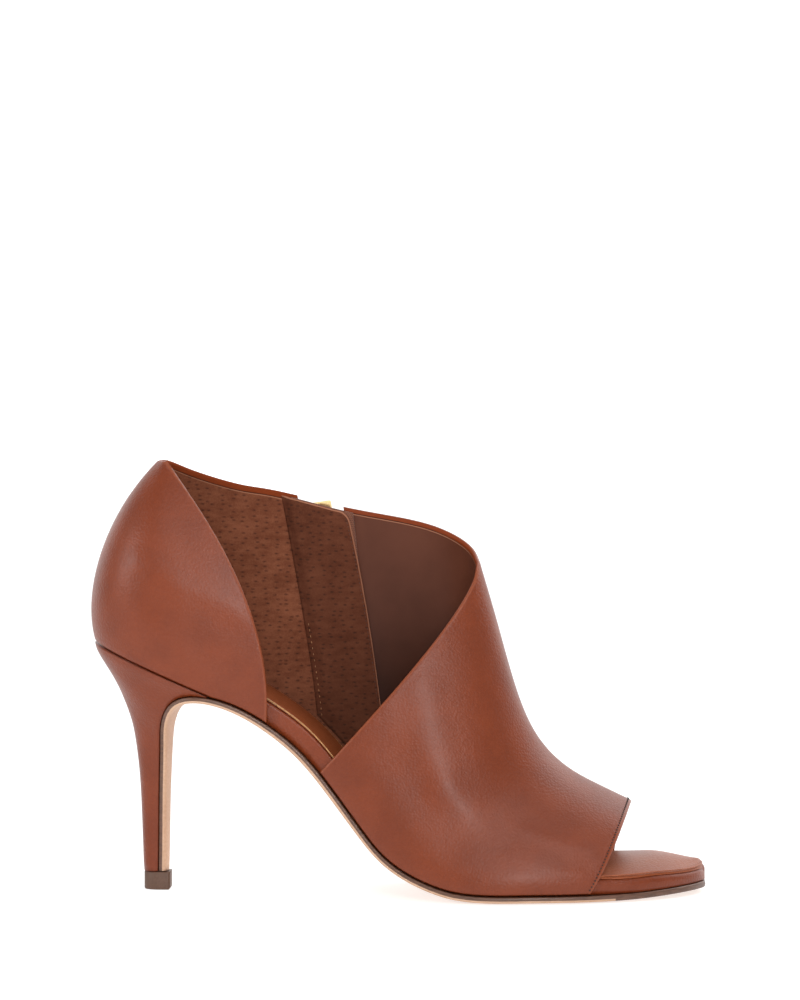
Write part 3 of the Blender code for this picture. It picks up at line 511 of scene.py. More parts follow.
def wall_normal(t, height):
    """The direction out of the shoe at that point."""
    step = 1e-4
    side = wall_point(t + step, height) - wall_point(t - step, height)
    up = wall_point(t, height + step) - wall_point(t, height - step)
    normal = np.cross(up, side)
    return normal / np.linalg.norm(normal)


def inside_wall(t, height, depth):
    """A point at a depth below the wall's outer face."""
    return wall_point(t, height) - wall_normal(t, height) * depth


print(f"The upper hangs on {len(WALL_RIBS) + len(VAMP_RIBS)} ribs.")

# %% [markdown]
# ## From points to meshes
# Two helpers make almost every piece. A sheet is Blender's own grid, with each of its vertices sent to a
# point of a table. A loft is such a sheet whose last row meets its first, welded along that line and
# filled at both ends, which is how a last maker sees a solid: as a stack of sections.

# %% Sheets and lofts
def add_sheet(bm, points):
    """Adds a grid to bm and sends its vertices to a table of points, one row for each column."""
    columns, rows = len(points), len(points[0])
    made = bmesh.ops.create_grid(bm, x_segments=columns - 1, y_segments=rows - 1, size=1.0)
    for number, vert in enumerate(made["verts"]):
        vert.co = points[number % columns][number // columns]
    return made["verts"]


def add_loft(bm, rings):
    """Adds a closed solid through rings of points, each with as many points as the next."""
    verts = add_sheet(bm, [[*ring, ring[0]] for ring in rings])
    bmesh.ops.remove_doubles(bm, verts=verts, dist=1e-7)
    ends = [edge for edge in bm.edges if edge.is_boundary]
    bmesh.ops.holes_fill(bm, edges=ends, sides=0)
    bmesh.ops.recalc_face_normals(bm, faces=bm.faces[:])


def piece_from(name, bm, body="shoe"):
    """Turns bm into a smooth piece that rides on a body of the frame."""
    mesh = bpy.data.meshes.new(name)
    bm.to_mesh(mesh)
    bm.free()
    mesh.polygons.foreach_set("use_smooth", [True] * len(mesh.polygons))
    piece = bpy.data.objects.new(name, mesh)
    bpy.context.scene.collection.objects.link(piece)
    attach(piece, body)
    print(f"{name}: {len(mesh.polygons)} faces")
    return piece


# %% [markdown]
# ## The upper
# The upper is one leather shell with its lining. Every open edge of the real one is turned in, so it
# looks soft and round. A Solidify modifier gives the shell its thickness on both sides of a middle
# surface, and a vertex group thins it towards each open edge along a quarter of a circle. That needs a
# few closer rows and columns along those edges, which come in with the grid's own lines.

# %% Lines of the grid
RIM_STEPS = np.array([0.00005, 0.00018, 0.0004, 0.0008])      # metres from an open edge


def run(low, high, count, open_low=0.0, open_high=0.0):
    """Even values from low to high. The change of value in a metre is given for an end with a rim."""
    first = low + RIM_STEPS * open_low
    last = high - RIM_STEPS * open_high
    middle = np.linspace(first[-1], last[-1], count + 1)
    return np.unique(np.concatenate([[low], first, middle, last, [high]]))


def rib_rows(rib, top_open=True, spread=1.0):
    """Shares of the way up a rib, one for each row of the grid. spread widens the steps at its top."""
    foot = 1 / (3 * np.linalg.norm(rib[1] - rib[0]))
    top = 1 / (3 * np.linalg.norm(rib[3] - rib[2])) if top_open else 0.0
    below = run(0.0, ZIP_FOOT, 10, foot, foot)
    above = run(ZIP_FOOT, 1.0, 30, 0.0, top * spread)
    return np.concatenate([below, above[1:]])


KNOTS_PER_METRE = 1.4
wall_columns = np.concatenate([
    run(wall_knots[0], RIB["zip back"], 118, KNOTS_PER_METRE, KNOTS_PER_METRE),
    run(RIB["zip back"], RIB["zip front"], 6)[1:],
    run(RIB["zip front"], wall_knots[-1], 26, KNOTS_PER_METRE)[1:],
])
vamp_columns = run(0.0, vamp_knots[-1], 84, KNOTS_PER_METRE, KNOTS_PER_METRE)
wall_ribs = [wall_rib(t) for t in wall_columns]
wall_sheet = [bezier(rib, rib_rows(rib)) for rib in wall_ribs]
vamp_sheet = []
for t in vamp_columns:
    inner, outer = vamp_halves(t)
    over = bezier(outer, rib_rows(outer, top_open=False))[-2::-1]
    spread = 1 + 7 * min(t / 0.002, 1.0)
    vamp_sheet.append(np.concatenate([bezier(inner, rib_rows(inner, spread=spread)), over]))
print(f"The grid has {len(wall_sheet)} + {len(vamp_sheet)} columns.")


# %% Build the shell
RIDGE_REACH = 0.0045     # half width of the strip along the vamp's ridge that is rounded over
RIDGE_PASSES = 5


def on_sole(vert):
    """True for a vertex of the line where the upper meets the sole."""
    return abs(vert.co.z - base_height(vert.co.x, SEAT_FIT)) < 2e-5


def edge_is_hidden(edge):
    """True for an open edge on the sole or beside the zip, which has no turned leather inside."""
    middle = (edge.verts[0].co + edge.verts[1].co) / 2
    return all(on_sole(vert) for vert in edge.verts) or slot_tree.find(middle)[2] < 0.0004


def slot_lines():
    """Points along both sides of the zip's slot and across its foot."""
    places = []
    for height in np.linspace(ZIP_FOOT, 1.0, 400)[:-2]:
        places.extend(wall_point(RIB[name], height) for name in ("zip back", "zip front"))
    places.extend(wall_point(t, ZIP_FOOT) for t in np.linspace(RIB["zip back"], RIB["zip front"], 60))
    tree = KDTree(len(places))
    for number, place in enumerate(places):
        tree.insert(place, number)
    tree.balance()
    return tree


def edge_tree(edges):
    """A search tree of points along the edges, close enough together to measure distances from."""
    places = []
    for edge in edges:
        start, end = (vert.co.copy() for vert in edge.verts)
        count = max(int((end - start).length / 0.00005), 1)
        places.extend(start.lerp(end, k / count) for k in range(count + 1))
    tree = KDTree(len(places))
    for number, place in enumerate(places):
        tree.insert(place, number)
    tree.balance()
    return tree


def upper_shell():
    """Middle surface of the upper, with its distances to the open edges."""
    bm = bmesh.new()
    add_sheet(bm, wall_sheet)
    slot_columns = (RIB["zip back"] - 1e-9 <= wall_columns[:-1]) & (wall_columns[:-1] < RIB["zip front"] - 1e-9)
    slot_rows = rib_rows(wall_ribs[0])[:-1] >= ZIP_FOOT - 1e-9
    bm.faces.ensure_lookup_table()
    slot = [
        bm.faces[row * len(slot_columns) + column]
        for row in np.flatnonzero(slot_rows)
        for column in np.flatnonzero(slot_columns)
    ]
    for number, face in enumerate(bm.faces):
        face.material_index = 2 if wall_columns[number % len(slot_columns)] > RIB["zip front"] - 1e-9 else 0
    bmesh.ops.delete(bm, geom=slot, context="FACES")
    quarter_faces = set(bm.faces)
    add_sheet(bm, vamp_sheet)
    for face in bm.faces:
        if face not in quarter_faces:
            face.material_index = 2
    bmesh.ops.remove_doubles(bm, verts=bm.verts[:], dist=2e-6)
    bmesh.ops.reverse_faces(bm, faces=bm.faces[:])
    ridge = [
        vert
        for vert in bm.verts
        if abs(vert.co.y) < RIDGE_REACH and vert.co.x > along(0.62) and vert.co.z > 0.03 and not vert.is_boundary
    ]
    for number in range(1, RIDGE_PASSES + 1):
        limit = along(VAMP_RIBS[-1][0][0]) - 0.0015 * number
        verts = [vert for vert in ridge if vert.co.x < limit]
        bmesh.ops.smooth_vert(bm, verts=verts, factor=0.5, use_axis_x=True, use_axis_y=True, use_axis_z=True)
    bm.normal_update()
    return bm


def thin_at_edges(piece, distances, thickness):
    """Gives a sheet its thickness, rounded off along its open edges."""
    group = piece.vertex_groups.new(name="rim")
    for index, distance in enumerate(distances):
        inward = min(distance / (thickness / 2), 1.0)
        group.add([index], max(math.sqrt(1 - (1 - inward) ** 2), 0.04), "REPLACE")
    shell = piece.modifiers.new("thickness", "SOLIDIFY")
    shell.thickness = thickness
    shell.offset = 0.0
    shell.vertex_group = "rim"
    shell.use_quality_normals = True
    shell.material_offset = 1
    return shell


# %% Soft creases and swells
CREASES = (
    # from (along, height), to (along, height), half width and depth in metres. A swell has a negative depth
    ((0.120, 1.160), (0.270, 0.800), 0.0075, 0.00042),
    ((0.090, 1.330), (0.280, 1.090), 0.0060, -0.00030),
    ((0.545, 0.830), (0.580, 0.450), 0.0095, -0.00040),
    ((0.580, 0.450), (0.660, 0.310), 0.0085, -0.00036),
    ((0.505, 0.560), (0.590, 0.240), 0.0110, 0.00050),
    ((0.700, 0.285), (0.815, 0.200), 0.0030, -0.00016),
    ((0.715, 0.235), (0.812, 0.150), 0.0026, 0.00014),
    ((0.690, 0.195), (0.800, 0.110), 0.0028, -0.00013),
)
CREASE_MARGIN = 0.005    # creases fade out this far from an open edge


def crease_push(point, edge_distance):
    """How far the leather sinks at a point of the outer side."""
    if point.y > 0:
        return 0.0
    turning = min(-point.y / 0.010, 1.0)
    push = 0.0
    place = Vector((point.x, point.z))
    for start, end, half_width, depth in CREASES:
        first = Vector((along(start[0]), start[1] * HEEL_HEIGHT))
        line = Vector((along(end[0]), end[1] * HEEL_HEIGHT)) - first
        share = min(max((place - first).dot(line) / line.length_squared, 0.0), 1.0)
        away = (place - first - line * share).length / half_width
        push += depth * max(1 - away * away, 0.0) ** 2
    fade = min(edge_distance / CREASE_MARGIN, 1.0)
    return push * fade * fade * (3 - 2 * fade) * turning * turning


# %% The dressed upper
slot_tree = slot_lines()
bm = upper_shell()
open_edges = [edge for edge in bm.edges if edge.is_boundary]
trimmed_edges = [edge for edge in open_edges if not edge_is_hidden(edge)]
all_edges_tree = edge_tree(open_edges)
trimmed_tree = edge_tree(trimmed_edges)
distances = [all_edges_tree.find(vert.co)[2] for vert in bm.verts]
trim = bm.verts.layers.float.new("trim")
for vert in bm.verts:
    vert[trim] = trimmed_tree.find(vert.co)[2] * 1000
for vert, normal, distance in [(vert, vert.normal.copy(), d) for vert, d in zip(bm.verts, distances)]:
    vert.co -= normal * (WALL / 2 + crease_push(vert.co, distance))
upper = piece_from("upper_leather", bm)
thin_at_edges(upper, distances, WALL)
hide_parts("upper")

# %% [markdown]
# ## Sole, heel and footbed
# The outsole is a strip of leather board: flat inside, a little bulged below, with painted edges. It runs
# from the toe under the foot, curls down the front of the heel and ends on the top piece. Its sections
# are rounded at their corners. The heel is slim and leather-covered, with a half-round back.

# %% Outsole
FLAP_STEPS = 44
PAINTED_SHARE = 0.60      # share of the edge's height that is painted at the waist


def flap_share(t):
    """How far down the heel's breast a path distance lies, from the seat to the top piece."""
    return (t - WAIST) / (path_knots[-1] - WAIST)


def edge_drop(gap, soft):
    """How far a rounded edge lies below the top, at a gap from the edge."""
    gap = min(max(gap, 0.0), soft)
    return soft - math.sqrt(soft * soft - (soft - gap) ** 2)


def sole_half_widths(t):
    """Half widths of the outsole: the outline's, then those of the heel's breast."""
    share = flap_share(t)
    if share <= 0:
        return half_widths(min(sole_point(t)[0][0], TIP_X - 0.0002))
    breast = heel_sections(share)[0][2] * BALL_WIDTH
    ease = min(share / FLAP_EASE, 1.0)
    ease = ease * ease * (3 - 2 * ease)
    return half_widths(SEAT_FRONT_X) * (1 - ease) + np.array([breast, breast]) * ease


def rounded_strip(half, low, high, soft, across=14):
    """Section of a strip: its underside is low(s), s -1 to 1, and its flat top lies at high."""
    soft = min(soft, half * 0.5, (high - low(1.0)) * 0.48)
    turns = np.linspace(0.0, math.pi / 2, 5)
    inner = 1 - soft / half
    under = [(s * half, low(s)) for s in np.linspace(-inner, inner, across)]
    lower = [(half - soft + soft * math.sin(a), low(1.0) + soft * (1 - math.cos(a))) for a in turns[1:]]
    upper_turn = [(half - soft + soft * math.cos(a), high - soft + soft * math.sin(a)) for a in turns]
    top = [(s * half, high) for s in np.linspace(inner, -inner, across)[1:]]
    paint = [(half, high - (high - low(1.0)) * PAINTED_SHARE)]
    mirrored = [(-y, z) for y, z in (lower + paint + upper_turn)[::-1]]
    return under + lower + paint + upper_turn + top[:-1] + mirrored[:-1]


def outsole_rings():
    """Sections of the outsole from the toe to the foot of its flap."""
    tip = path_knots[1] * np.linspace(0.0, 1.0, 26) ** 2
    foot = np.arange(path_knots[1], WAIST, 0.0020)[1:]
    flap = np.linspace(WAIST, path_knots[-1], FLAP_STEPS)
    rings = []
    for t in [*tip, *foot, *flap]:
        middle, inward, bulge = sole_point(t)
        outer, inner = sole_half_widths(t)
        mid, half = (inner - outer) / 2, max((inner + outer) / 2, 0.0004)
        ring = []
        drop = edge_drop(t, 0.0008)
        for y, depth in rounded_strip(half, lambda s: bulge * s * s, bulge + OUTSOLE_EDGE, 0.0006):
            core = bulge + OUTSOLE_EDGE / 2
            depth = core + (depth - core) * (1 - 0.8 * drop / 0.0008)
            place = middle + inward * depth
            ring.append((place[0], mid + y, place[1]))
        rings.append(ring)
    return rings


rings = outsole_rings()
bm = bmesh.new()
add_loft(bm, rings)
ring_faces = len(rings[0])
for number, face in enumerate(bm.faces):
    station, around = number % (len(rings) - 1), number // (len(rings) - 1)
    below = around < 13 or station > 36 and (around < 18 or around > ring_faces - 5)
    face.material_index = 0 if below else 1
outsole = piece_from("outsole_board", bm)
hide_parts("outsole")


# %% Heel and its top piece
HEEL_FOOT_WIDTH = 0.0094
HEEL_FOOT_DEPTH = 0.0094
TOP_PIECE_HEIGHT = 0.0064
TOP_PIECE_BEVEL = 0.0006
HEEL_SIDE_POINTS = 30


def heel_section(back, front, half_width, rounded, seat=False):
    """A section of the heel: a half-round back, straight sides and a flat front."""
    back, front = np.asarray(back, float), np.asarray(front, float)
    halves = []
    for side in (-1, 1):
        half = []
        for k in range(HEEL_SIDE_POINTS + 1):
            turn = min(k / (HEEL_SIDE_POINTS - 4), 1.0) * math.pi / 2
            beyond = max(k - HEEL_SIDE_POINTS + 4, 0) / 4
            depth = rounded * (1 - math.cos(turn)) + (1 - rounded) * beyond
            place = back + (front - back) * depth
            reach = half_width * math.sin(turn) ** (2 / SEAT_ROUND)
            if seat:
                reach = half_widths(max(place[0], BACK_X))[0 if side < 0 else 1]
            half.append((place[0], side * reach, place[1]))
        halves.append(half)
    return halves[0][::-1] + halves[1][1:]


def heel_rings():
    """Sections of the heel from the seat down to the top piece."""
    flap = np.linspace(WAIST, path_knots[-1], FLAP_STEPS)[1:]
    first = sole_top(flap[0], FIT)
    seat_back = np.array([BACK_X, base_height(BACK_X) - FIT])
    seat_front = np.array([first[0], base_height(first[0]) - FIT])
    rings = [heel_section(seat_back, seat_front, 0.0, heel_rows[0, 4], seat=True)]
    for t in flap:
        back_along, back_height, half_width, rounded = heel_sections(flap_share(t))[0]
        front = sole_top(t, FIT)
        back = np.array([along(back_along), back_height * HEEL_HEIGHT])
        if t == flap[-1]:
            front[1] = TOP_PIECE_HEIGHT + FIT
            back = np.array([-HEEL_FOOT_DEPTH / 2, front[1]])
            half_width = HEEL_FOOT_WIDTH / 2 / BALL_WIDTH
        rings.append(heel_section(back, front, half_width * BALL_WIDTH, rounded))
    return rings


def top_piece_rings():
    """Sections of the top piece, with its lower edge rounded."""
    rings = []
    turns = np.linspace(0.0, math.pi / 2, 5)
    levels = [(TOP_PIECE_BEVEL * (1 - math.cos(a)), TOP_PIECE_BEVEL * (1 - math.sin(a))) for a in turns]
    for height, inset in [*levels, (TOP_PIECE_HEIGHT - 0.0002, 0.0), (TOP_PIECE_HEIGHT, 0.0002)]:
        back = (-HEEL_FOOT_DEPTH / 2 + inset, height)
        front = (HEEL_FOOT_DEPTH / 2 - inset, height)
        rings.append(heel_section(back, front, HEEL_FOOT_WIDTH / 2 - inset, heel_rows[-1, 4]))
    return rings


bm = bmesh.new()
add_loft(bm, heel_rings())
heel = piece_from("heel_cover", bm)
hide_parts("heel")
bm = bmesh.new()
add_loft(bm, top_piece_rings())
top_piece = piece_from("heel_top_piece", bm)
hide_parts("top_piece")


# %% Footbed and sock
BOARD_ROUND = 0.0012
TOE_ROUND = 0.0026
COVERED_X = along(VAMP_RIBS[-1][4])


def eased(share):
    """A smooth step from 0 to 1."""
    share = min(max(share, 0.0), 1.0)
    return share * share * (3 - 2 * share)


def board_inset(x):
    """How far the footbed's side lies inside the outline: under the upper, or bare at the toes."""
    ease = min(max((x - COVERED_X) / (0.05 * LENGTH), 0.0), 1.0)
    return (WALL + FIT) * (1 - ease) + TOE_REVEAL * ease


def tip_share(x):
    """0 back to the toe opening and 1 at the tip of the toe."""
    return eased((x - along(0.90)) / (0.10 * LENGTH))


def board_thickness(x):
    """Upright thickness of the footbed at its edge, thicker on the slope of the arch."""
    ease = eased(((x + HEEL_SETBACK) / LENGTH - 0.42) / 0.25)
    plain = FOOTBED_WAIST * (1 - ease) + FOOTBED_TOE * ease - TIP_THIN * tip_share(x)
    slope = (base_height(x + 0.004) - base_height(x - 0.004)) / 0.008
    return plain * math.sqrt(1 + slope * slope)


def board_stations(back, tip, count):
    """Places along the foot, closer together towards both ends."""
    return back + (tip - back) * (1 - np.cos(np.linspace(0.0, math.pi, count))) / 2


def taken_in(margin):
    """The outline moved inwards, square to itself, by the footbed's inset and a margin."""
    xs = board_stations(BACK_X, TIP_X, 400)
    widths = np.array([half_widths(x) for x in xs])
    inset = np.array([board_inset(x) + margin for x in xs])
    curves = []
    for side, width in ((-1, widths[:, 0]), (1, widths[:, 1])):
        heading = np.stack([np.gradient(xs), np.gradient(side * width)], axis=1)
        heading /= np.linalg.norm(heading, axis=1)[:, None]
        curves.append((xs + side * heading[:, 1] * inset, side * width - side * heading[:, 0] * inset))
    return curves


edge_curves = {0.0: taken_in(0.0), SOCK_MARGIN: taken_in(SOCK_MARGIN)}


def board_span(x, margin=0.0):
    """Middle and half width of the footbed at x, with its sides taken in by a margin."""
    outer, inner = (float(np.interp(x, xs, ys)) for xs, ys in edge_curves[margin])
    return (inner + outer) / 2, max((inner - outer) / 2, 0.0003)


def board_crown(x):
    """Rise of the footbed's middle above its edges, softer and higher under the toes."""
    rise = eased((x - along(0.66)) / (0.14 * LENGTH))
    return FOOTBED_CROWN + (TOE_CROWN - FOOTBED_CROWN) * rise - TIP_FALL * tip_share(x)


def board_soft(x):
    """Rounding of the footbed's upper edge, larger under the toes."""
    return BOARD_ROUND + (TOE_ROUND - BOARD_ROUND) * eased((x - along(0.80)) / (0.06 * LENGTH))


def board_top(x, y):
    """Height of the footbed's crowned top above the line of the sole."""
    mid, half = board_span(x)
    crown = board_crown(x) * (1 - min(abs(y - mid) / half, 1.0) ** 2)
    return board_thickness(x) + crown - edge_drop(BOARD_TIP - x, TOE_ROUND)


def board_ends(margin):
    """Where the footbed's outline, taken in by a margin, begins and ends."""
    xs = np.linspace(BACK_X, TIP_X, 1200)
    wide = [x for x in xs if board_span(x, margin)[1] > 0.0006]
    return wide[0], wide[-1]


BOARD_TIP = board_ends(0.0)[1]


def footbed_rings():
    """Sections of the covered board, its upper edges rounded."""
    rings = []
    for x in board_stations(*board_ends(0.0), 150):
        base = base_height(x)
        mid, half = board_span(x)
        soft = min(board_soft(x), half * 0.6)
        top = board_thickness(x) - edge_drop(BOARD_TIP - x, TOE_ROUND)
        turns = np.linspace(0.0, math.pi / 2, 8)
        side = [(half - soft * (1 - math.cos(a)), top - soft * (1 - math.sin(a))) for a in turns[:-1]]
        side = [(half, 0.0), (half, (top - soft) / 2), *side]
        shares = np.linspace(1.0, -1.0, 19)
        over = [(mid + (half - soft) * s, top + board_crown(x) * (1 - s * s)) for s in shares]
        right = [(mid + y, z) for y, z in side]
        left = [(mid - y, z) for y, z in side[::-1]]
        rings.append([(x, y, base + z) for y, z in [(mid, 0.0), *right, *over, *left]])
    return rings


def sock_rings():
    """Sections of the leather sock, laid over the footbed and its rounded edge."""
    rings = []
    for x in board_stations(*board_ends(SOCK_MARGIN), 150):
        base = base_height(x)
        mid, half = board_span(x, SOCK_MARGIN)
        board_mid, board_half = board_span(x)
        soft = min(board_soft(x), board_half * 0.6)
        top = board_thickness(x) - edge_drop(BOARD_TIP - x, TOE_ROUND)
        under = []
        for share in np.sin(np.linspace(-math.pi / 2, math.pi / 2, 33)):
            y = mid + half * share
            gap = board_half - abs(y - board_mid)
            inner = min(abs(y - board_mid) / (board_half - soft), 1.0)
            rise = top + board_crown(x) * (1 - inner * inner) - edge_drop(gap, soft)
            under.append((y, rise + FIT))
        soft_edge = 0.0005 + 0.0012 * eased((x - COVERED_X + 0.010) / 0.020)
        edges = [min(half - abs(y - mid), BOARD_TIP - SOCK_MARGIN - x) for y, _ in under]
        thin = [SOCK * max(math.sqrt(min(max(edge, 0.0) / soft_edge, 1.0)), 0.05) for edge in edges]
        over = [(y, z + rise) for (y, z), rise in zip(under[::-1], thin[::-1])]
        rings.append([(x, y, base + z) for y, z in under + over])
    return rings


bm = bmesh.new()
add_loft(bm, footbed_rings())
footbed = piece_from("footbed_board", bm)
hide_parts("footbed")
bm = bmesh.new()
add_loft(bm, sock_rings())
sock = piece_from("sock_lining", bm)
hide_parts("sock")

# %% [markdown]
# ## The zip and its guard
# The zip lies in the inner side of the shoe. From the outer side one sees only the leather guard behind
# it, through the cut-away, and a glint of gold at the collar. The guard is a free panel with a rounded
# corner, so it gets the same rounded rim as the upper.

# %% Guard behind the zip
GUARD = 0.0010
GUARD_FRONT = 0.0111
GUARD_OVERLAP = 0.0016
GUARD_BACK = 0.0085
GUARD_FOOT = 0.135
GUARD_HEAD = 0.985
GUARD_TURN = 0.035
GUARD_CORNER = 0.0027


def zip_span(height, reach):
    """Rib knots of the slot's two edges, each moved out by reach metres, at a share of the height."""
    back, front = RIB["zip back"], RIB["zip front"]
    width = np.linalg.norm(wall_point(front, height) - wall_point(back, height))
    extra = reach / width * (front - back)
    return back - extra, front + extra


def guard_point(share, height):
    """A point in the middle of the guard, from its back edge to its free edge."""
    corner = max(height - GUARD_HEAD + GUARD_TURN, 0.0) / GUARD_TURN
    rounding = GUARD_CORNER * (1 - math.sqrt(1 - min(corner, 1.0) ** 2))
    back = zip_span(height, GUARD_BACK)[0]
    front = zip_span(height, GUARD_FRONT * (1 - height) + GUARD_OVERLAP - rounding)[1]
    behind = eased(share / 0.22)
    below = eased((height - GUARD_FOOT) / 0.09)
    depth = LINED_DEPTH + (GUARD_DEPTH - LINED_DEPTH) * min(behind, below)
    return inside_wall(back + (front - back) * share, height, depth)


def guard_thinness(share, height):
    """Share of the full thickness: skived thin where the guard is sewn to the lining."""
    return 0.30 + 0.70 * min(eased(share / 0.16), eased((height - GUARD_FOOT) / 0.07))


GUARD_DEPTH = WALL + 2 * FIT + TAPE + GUARD / 2
LINED_DEPTH = WALL + 0.00018
guard_shares = run(0.0, 1.0, 26, 0.0, 1 / 0.028)
turning = GUARD_HEAD - GUARD_TURN * (1 - np.sin(np.linspace(0.0, math.pi / 2, 12)[1:]))
guard_heights = np.concatenate([np.linspace(GUARD_FOOT, GUARD_HEAD - GUARD_TURN, 50), turning])
bm = bmesh.new()
add_sheet(bm, [[guard_point(s, h) for h in guard_heights] for s in guard_shares])
bmesh.ops.reverse_faces(bm, faces=bm.faces[:])
free_shares = [(s, h) for h in guard_heights for s in guard_shares]
free_edges = [
    edge
    for edge in bm.edges
    if edge.is_boundary and all(free_shares[vert.index][0] == 1.0 or free_shares[vert.index][1] == GUARD_HEAD
                                for vert in edge.verts)
]
guard_tree = edge_tree(free_edges)
distances = []
trim = bm.verts.layers.float.new("trim")
for vert, (share, height) in zip(bm.verts, free_shares):
    distance = guard_tree.find(vert.co)[2]
    vert[trim] = distance * 1000
    distances.append(min(distance, GUARD / 2 * (1 - math.sqrt(1 - guard_thinness(share, height) ** 2))))
guard = piece_from("zip_guard_panel", bm)
thin_at_edges(guard, distances, GUARD)
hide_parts("zip_guard")
print(f"The guard is {1000 * np.ptp([v.co.z for v in guard.data.vertices]):.0f} mm high.")

# %% [markdown]
# A zip's chain is a row of small metal teeth pressed on the edge of each tape, and the two rows mesh.
# One tooth is a bevelled box with its head a little proud. The tape is woven and thin, and lies under the
# leather at both sides of the slot.

# %% Tape and teeth
TEETH_RISE = 0.0014
TEETH_WIDTH = 0.0046
TAPE_REACH = 0.0035
TAPE_HEAD = 0.988
TOOTH_PITCH = 0.0011
TOOTH = (0.0026, 0.0008, 0.0009)       # across the zip, along it, and out of the shoe


def zip_frame(height, across, out):
    """A frame on the zip's middle line: across it, up it and out of the shoe."""
    middle = (RIB["zip back"] + RIB["zip front"]) / 2
    normal = Vector(wall_normal(middle, height))
    up = Vector(wall_point(middle, height + 0.005) - wall_point(middle, height - 0.005))
    up = (up - normal * up.dot(normal)).normalized()
    side = up.cross(normal)
    turn = Matrix((side, up, normal)).transposed().to_4x4()
    turn.translation = Vector(wall_point(middle, height)) + side * across + normal * out
    return turn


def tape_sheet():
    """The woven tape behind the slot."""
    points = []
    heights = np.linspace(ZIP_FOOT - 0.04, TAPE_HEAD, 40)
    for share in np.linspace(0.0, 1.0, 13):
        column = []
        for height in heights:
            back, front = zip_span(height, TAPE_REACH)
            column.append(inside_wall(back + (front - back) * share, height, WALL + FIT + TAPE / 2))
        points.append(column)
    return points


def add_tooth(bm, frame):
    """One tooth: a bevelled block, at a frame on the zip."""
    made = bmesh.ops.create_cube(bm, size=1.0, matrix=frame @ Matrix.Diagonal((*TOOTH, 1.0)))
    edges = list({edge for vert in made["verts"] for edge in vert.link_edges})
    bmesh.ops.bevel(
        bm, geom=edges, offset=0.00018, segments=1, profile=0.5, affect="EDGES", material=-1
    )


bm = bmesh.new()
add_sheet(bm, tape_sheet())
bmesh.ops.reverse_faces(bm, faces=bm.faces[:])
tape = piece_from("zip_woven_tape", bm)
shell = tape.modifiers.new("thickness", "SOLIDIFY")
shell.thickness = TAPE
shell.offset = 0.0
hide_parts("zip_tape")

middle_knot = (RIB["zip back"] + RIB["zip front"]) / 2
chain_length = np.linalg.norm(wall_point(middle_knot, TAPE_HEAD) - wall_point(middle_knot, ZIP_FOOT))
tooth_count = int(chain_length / TOOTH_PITCH)
bm = bmesh.new()
for number in range(1, tooth_count):
    height = ZIP_FOOT + 0.015 + (TAPE_HEAD - ZIP_FOOT - 0.02) * number / tooth_count
    side = 1 if number % 2 else -1
    add_tooth(bm, zip_frame(height, side * TEETH_WIDTH * 0.18, TEETH_RISE - WALL - FIT - TOOTH[2] / 2))
teeth = piece_from("zip_teeth", bm)

# %% [markdown]
# ## Stitches
# A sewn seam is a row of short threads, each a little bean that sits in its own dimple. One bean is a
# coarse sphere, stretched along the seam and flattened against the leather, and a helper lays beans at
# an even pitch along any line of points. The whole row is one mesh.

# %% Rows of stitches
def even_places(line, pitch):
    """Points at an even pitch along a line of points, with the heading at each."""
    line = np.asarray(line)
    reach = chord_knots(line)
    marks = np.arange(pitch / 2, reach[-1], pitch)
    places = np.stack([np.interp(marks, reach, line[:, axis]) for axis in range(3)], axis=1)
    ahead = np.stack([np.interp(marks + pitch / 4, reach, line[:, axis]) for axis in range(3)], axis=1)
    behind = np.stack([np.interp(marks - pitch / 4, reach, line[:, axis]) for axis in range(3)], axis=1)
    return [(Vector(p), (Vector(a) - Vector(b)).normalized()) for p, a, b in zip(places, ahead, behind)]


def stitch_row(name, line, outward, pitch, thread, share=0.72):
    """A row of stitches on a line of points. outward gives the direction off the leather at a point."""
    bm = bmesh.new()
    for place, heading in even_places(line, pitch):
        out = Vector(outward(place))
        out = (out - heading * out.dot(heading)).normalized()
        side = heading.cross(out)
        turn = Matrix((heading * pitch * share, side * thread, out * thread * 0.7)).transposed().to_4x4()
        turn.translation = place
        bmesh.ops.create_uvsphere(bm, u_segments=6, v_segments=5, radius=0.5, matrix=turn)
    return piece_from(name, bm)


def nearest_normal(piece):
    """A function that gives the piece's own outward direction nearest to a point."""
    depsgraph = bpy.context.evaluated_depsgraph_get()
    seen = piece.evaluated_get(depsgraph)

    def outward(place):
        return seen.closest_point_on_mesh(place)[2]

    return outward


def laid_on(piece, line, sink=0.0):
    """The line moved on to the nearest points of a piece's surface, and sunk into it."""
    depsgraph = bpy.context.evaluated_depsgraph_get()
    seen = piece.evaluated_get(depsgraph)
    laid = []
    for point in line:
        hit, place, normal, _ = seen.closest_point_on_mesh(Vector(point))
        laid.append(place - normal * sink)
    return laid


def toe_line(distance):
    """A line round the toe opening, at a distance back from its edge."""
    line = []
    end = vamp_knots[-1]
    for share in np.linspace(0.03, 1.97, 160):
        ribs = [vamp_halves(t) for t in (end, end - 0.002)]
        height = share if share <= 1 else 2 - share
        edge, back = (bezier(rib[0 if share <= 1 else 1], [height])[0] for rib in ribs)
        line.append(edge + (back - edge) / np.linalg.norm(back - edge) * distance)
    return line


toe_stitches = stitch_row(
    "toe_edge_stitches", laid_on(upper, toe_line(0.0014), -0.0001), nearest_normal(upper), 0.00125, 0.00062, 0.52
)

free_edge = [guard_point(1.0 - 0.0011 / 0.028, h) for h in np.linspace(GUARD_FOOT + 0.02, GUARD_HEAD - 0.02, 90)]
inward = [p - np.array([0.0, 0.0006, 0.0]) for p in free_edge]
guard_stitches = stitch_row(
    "guard_edge_stitches", laid_on(guard, inward), nearest_normal(guard), 0.0014, 0.00026
)

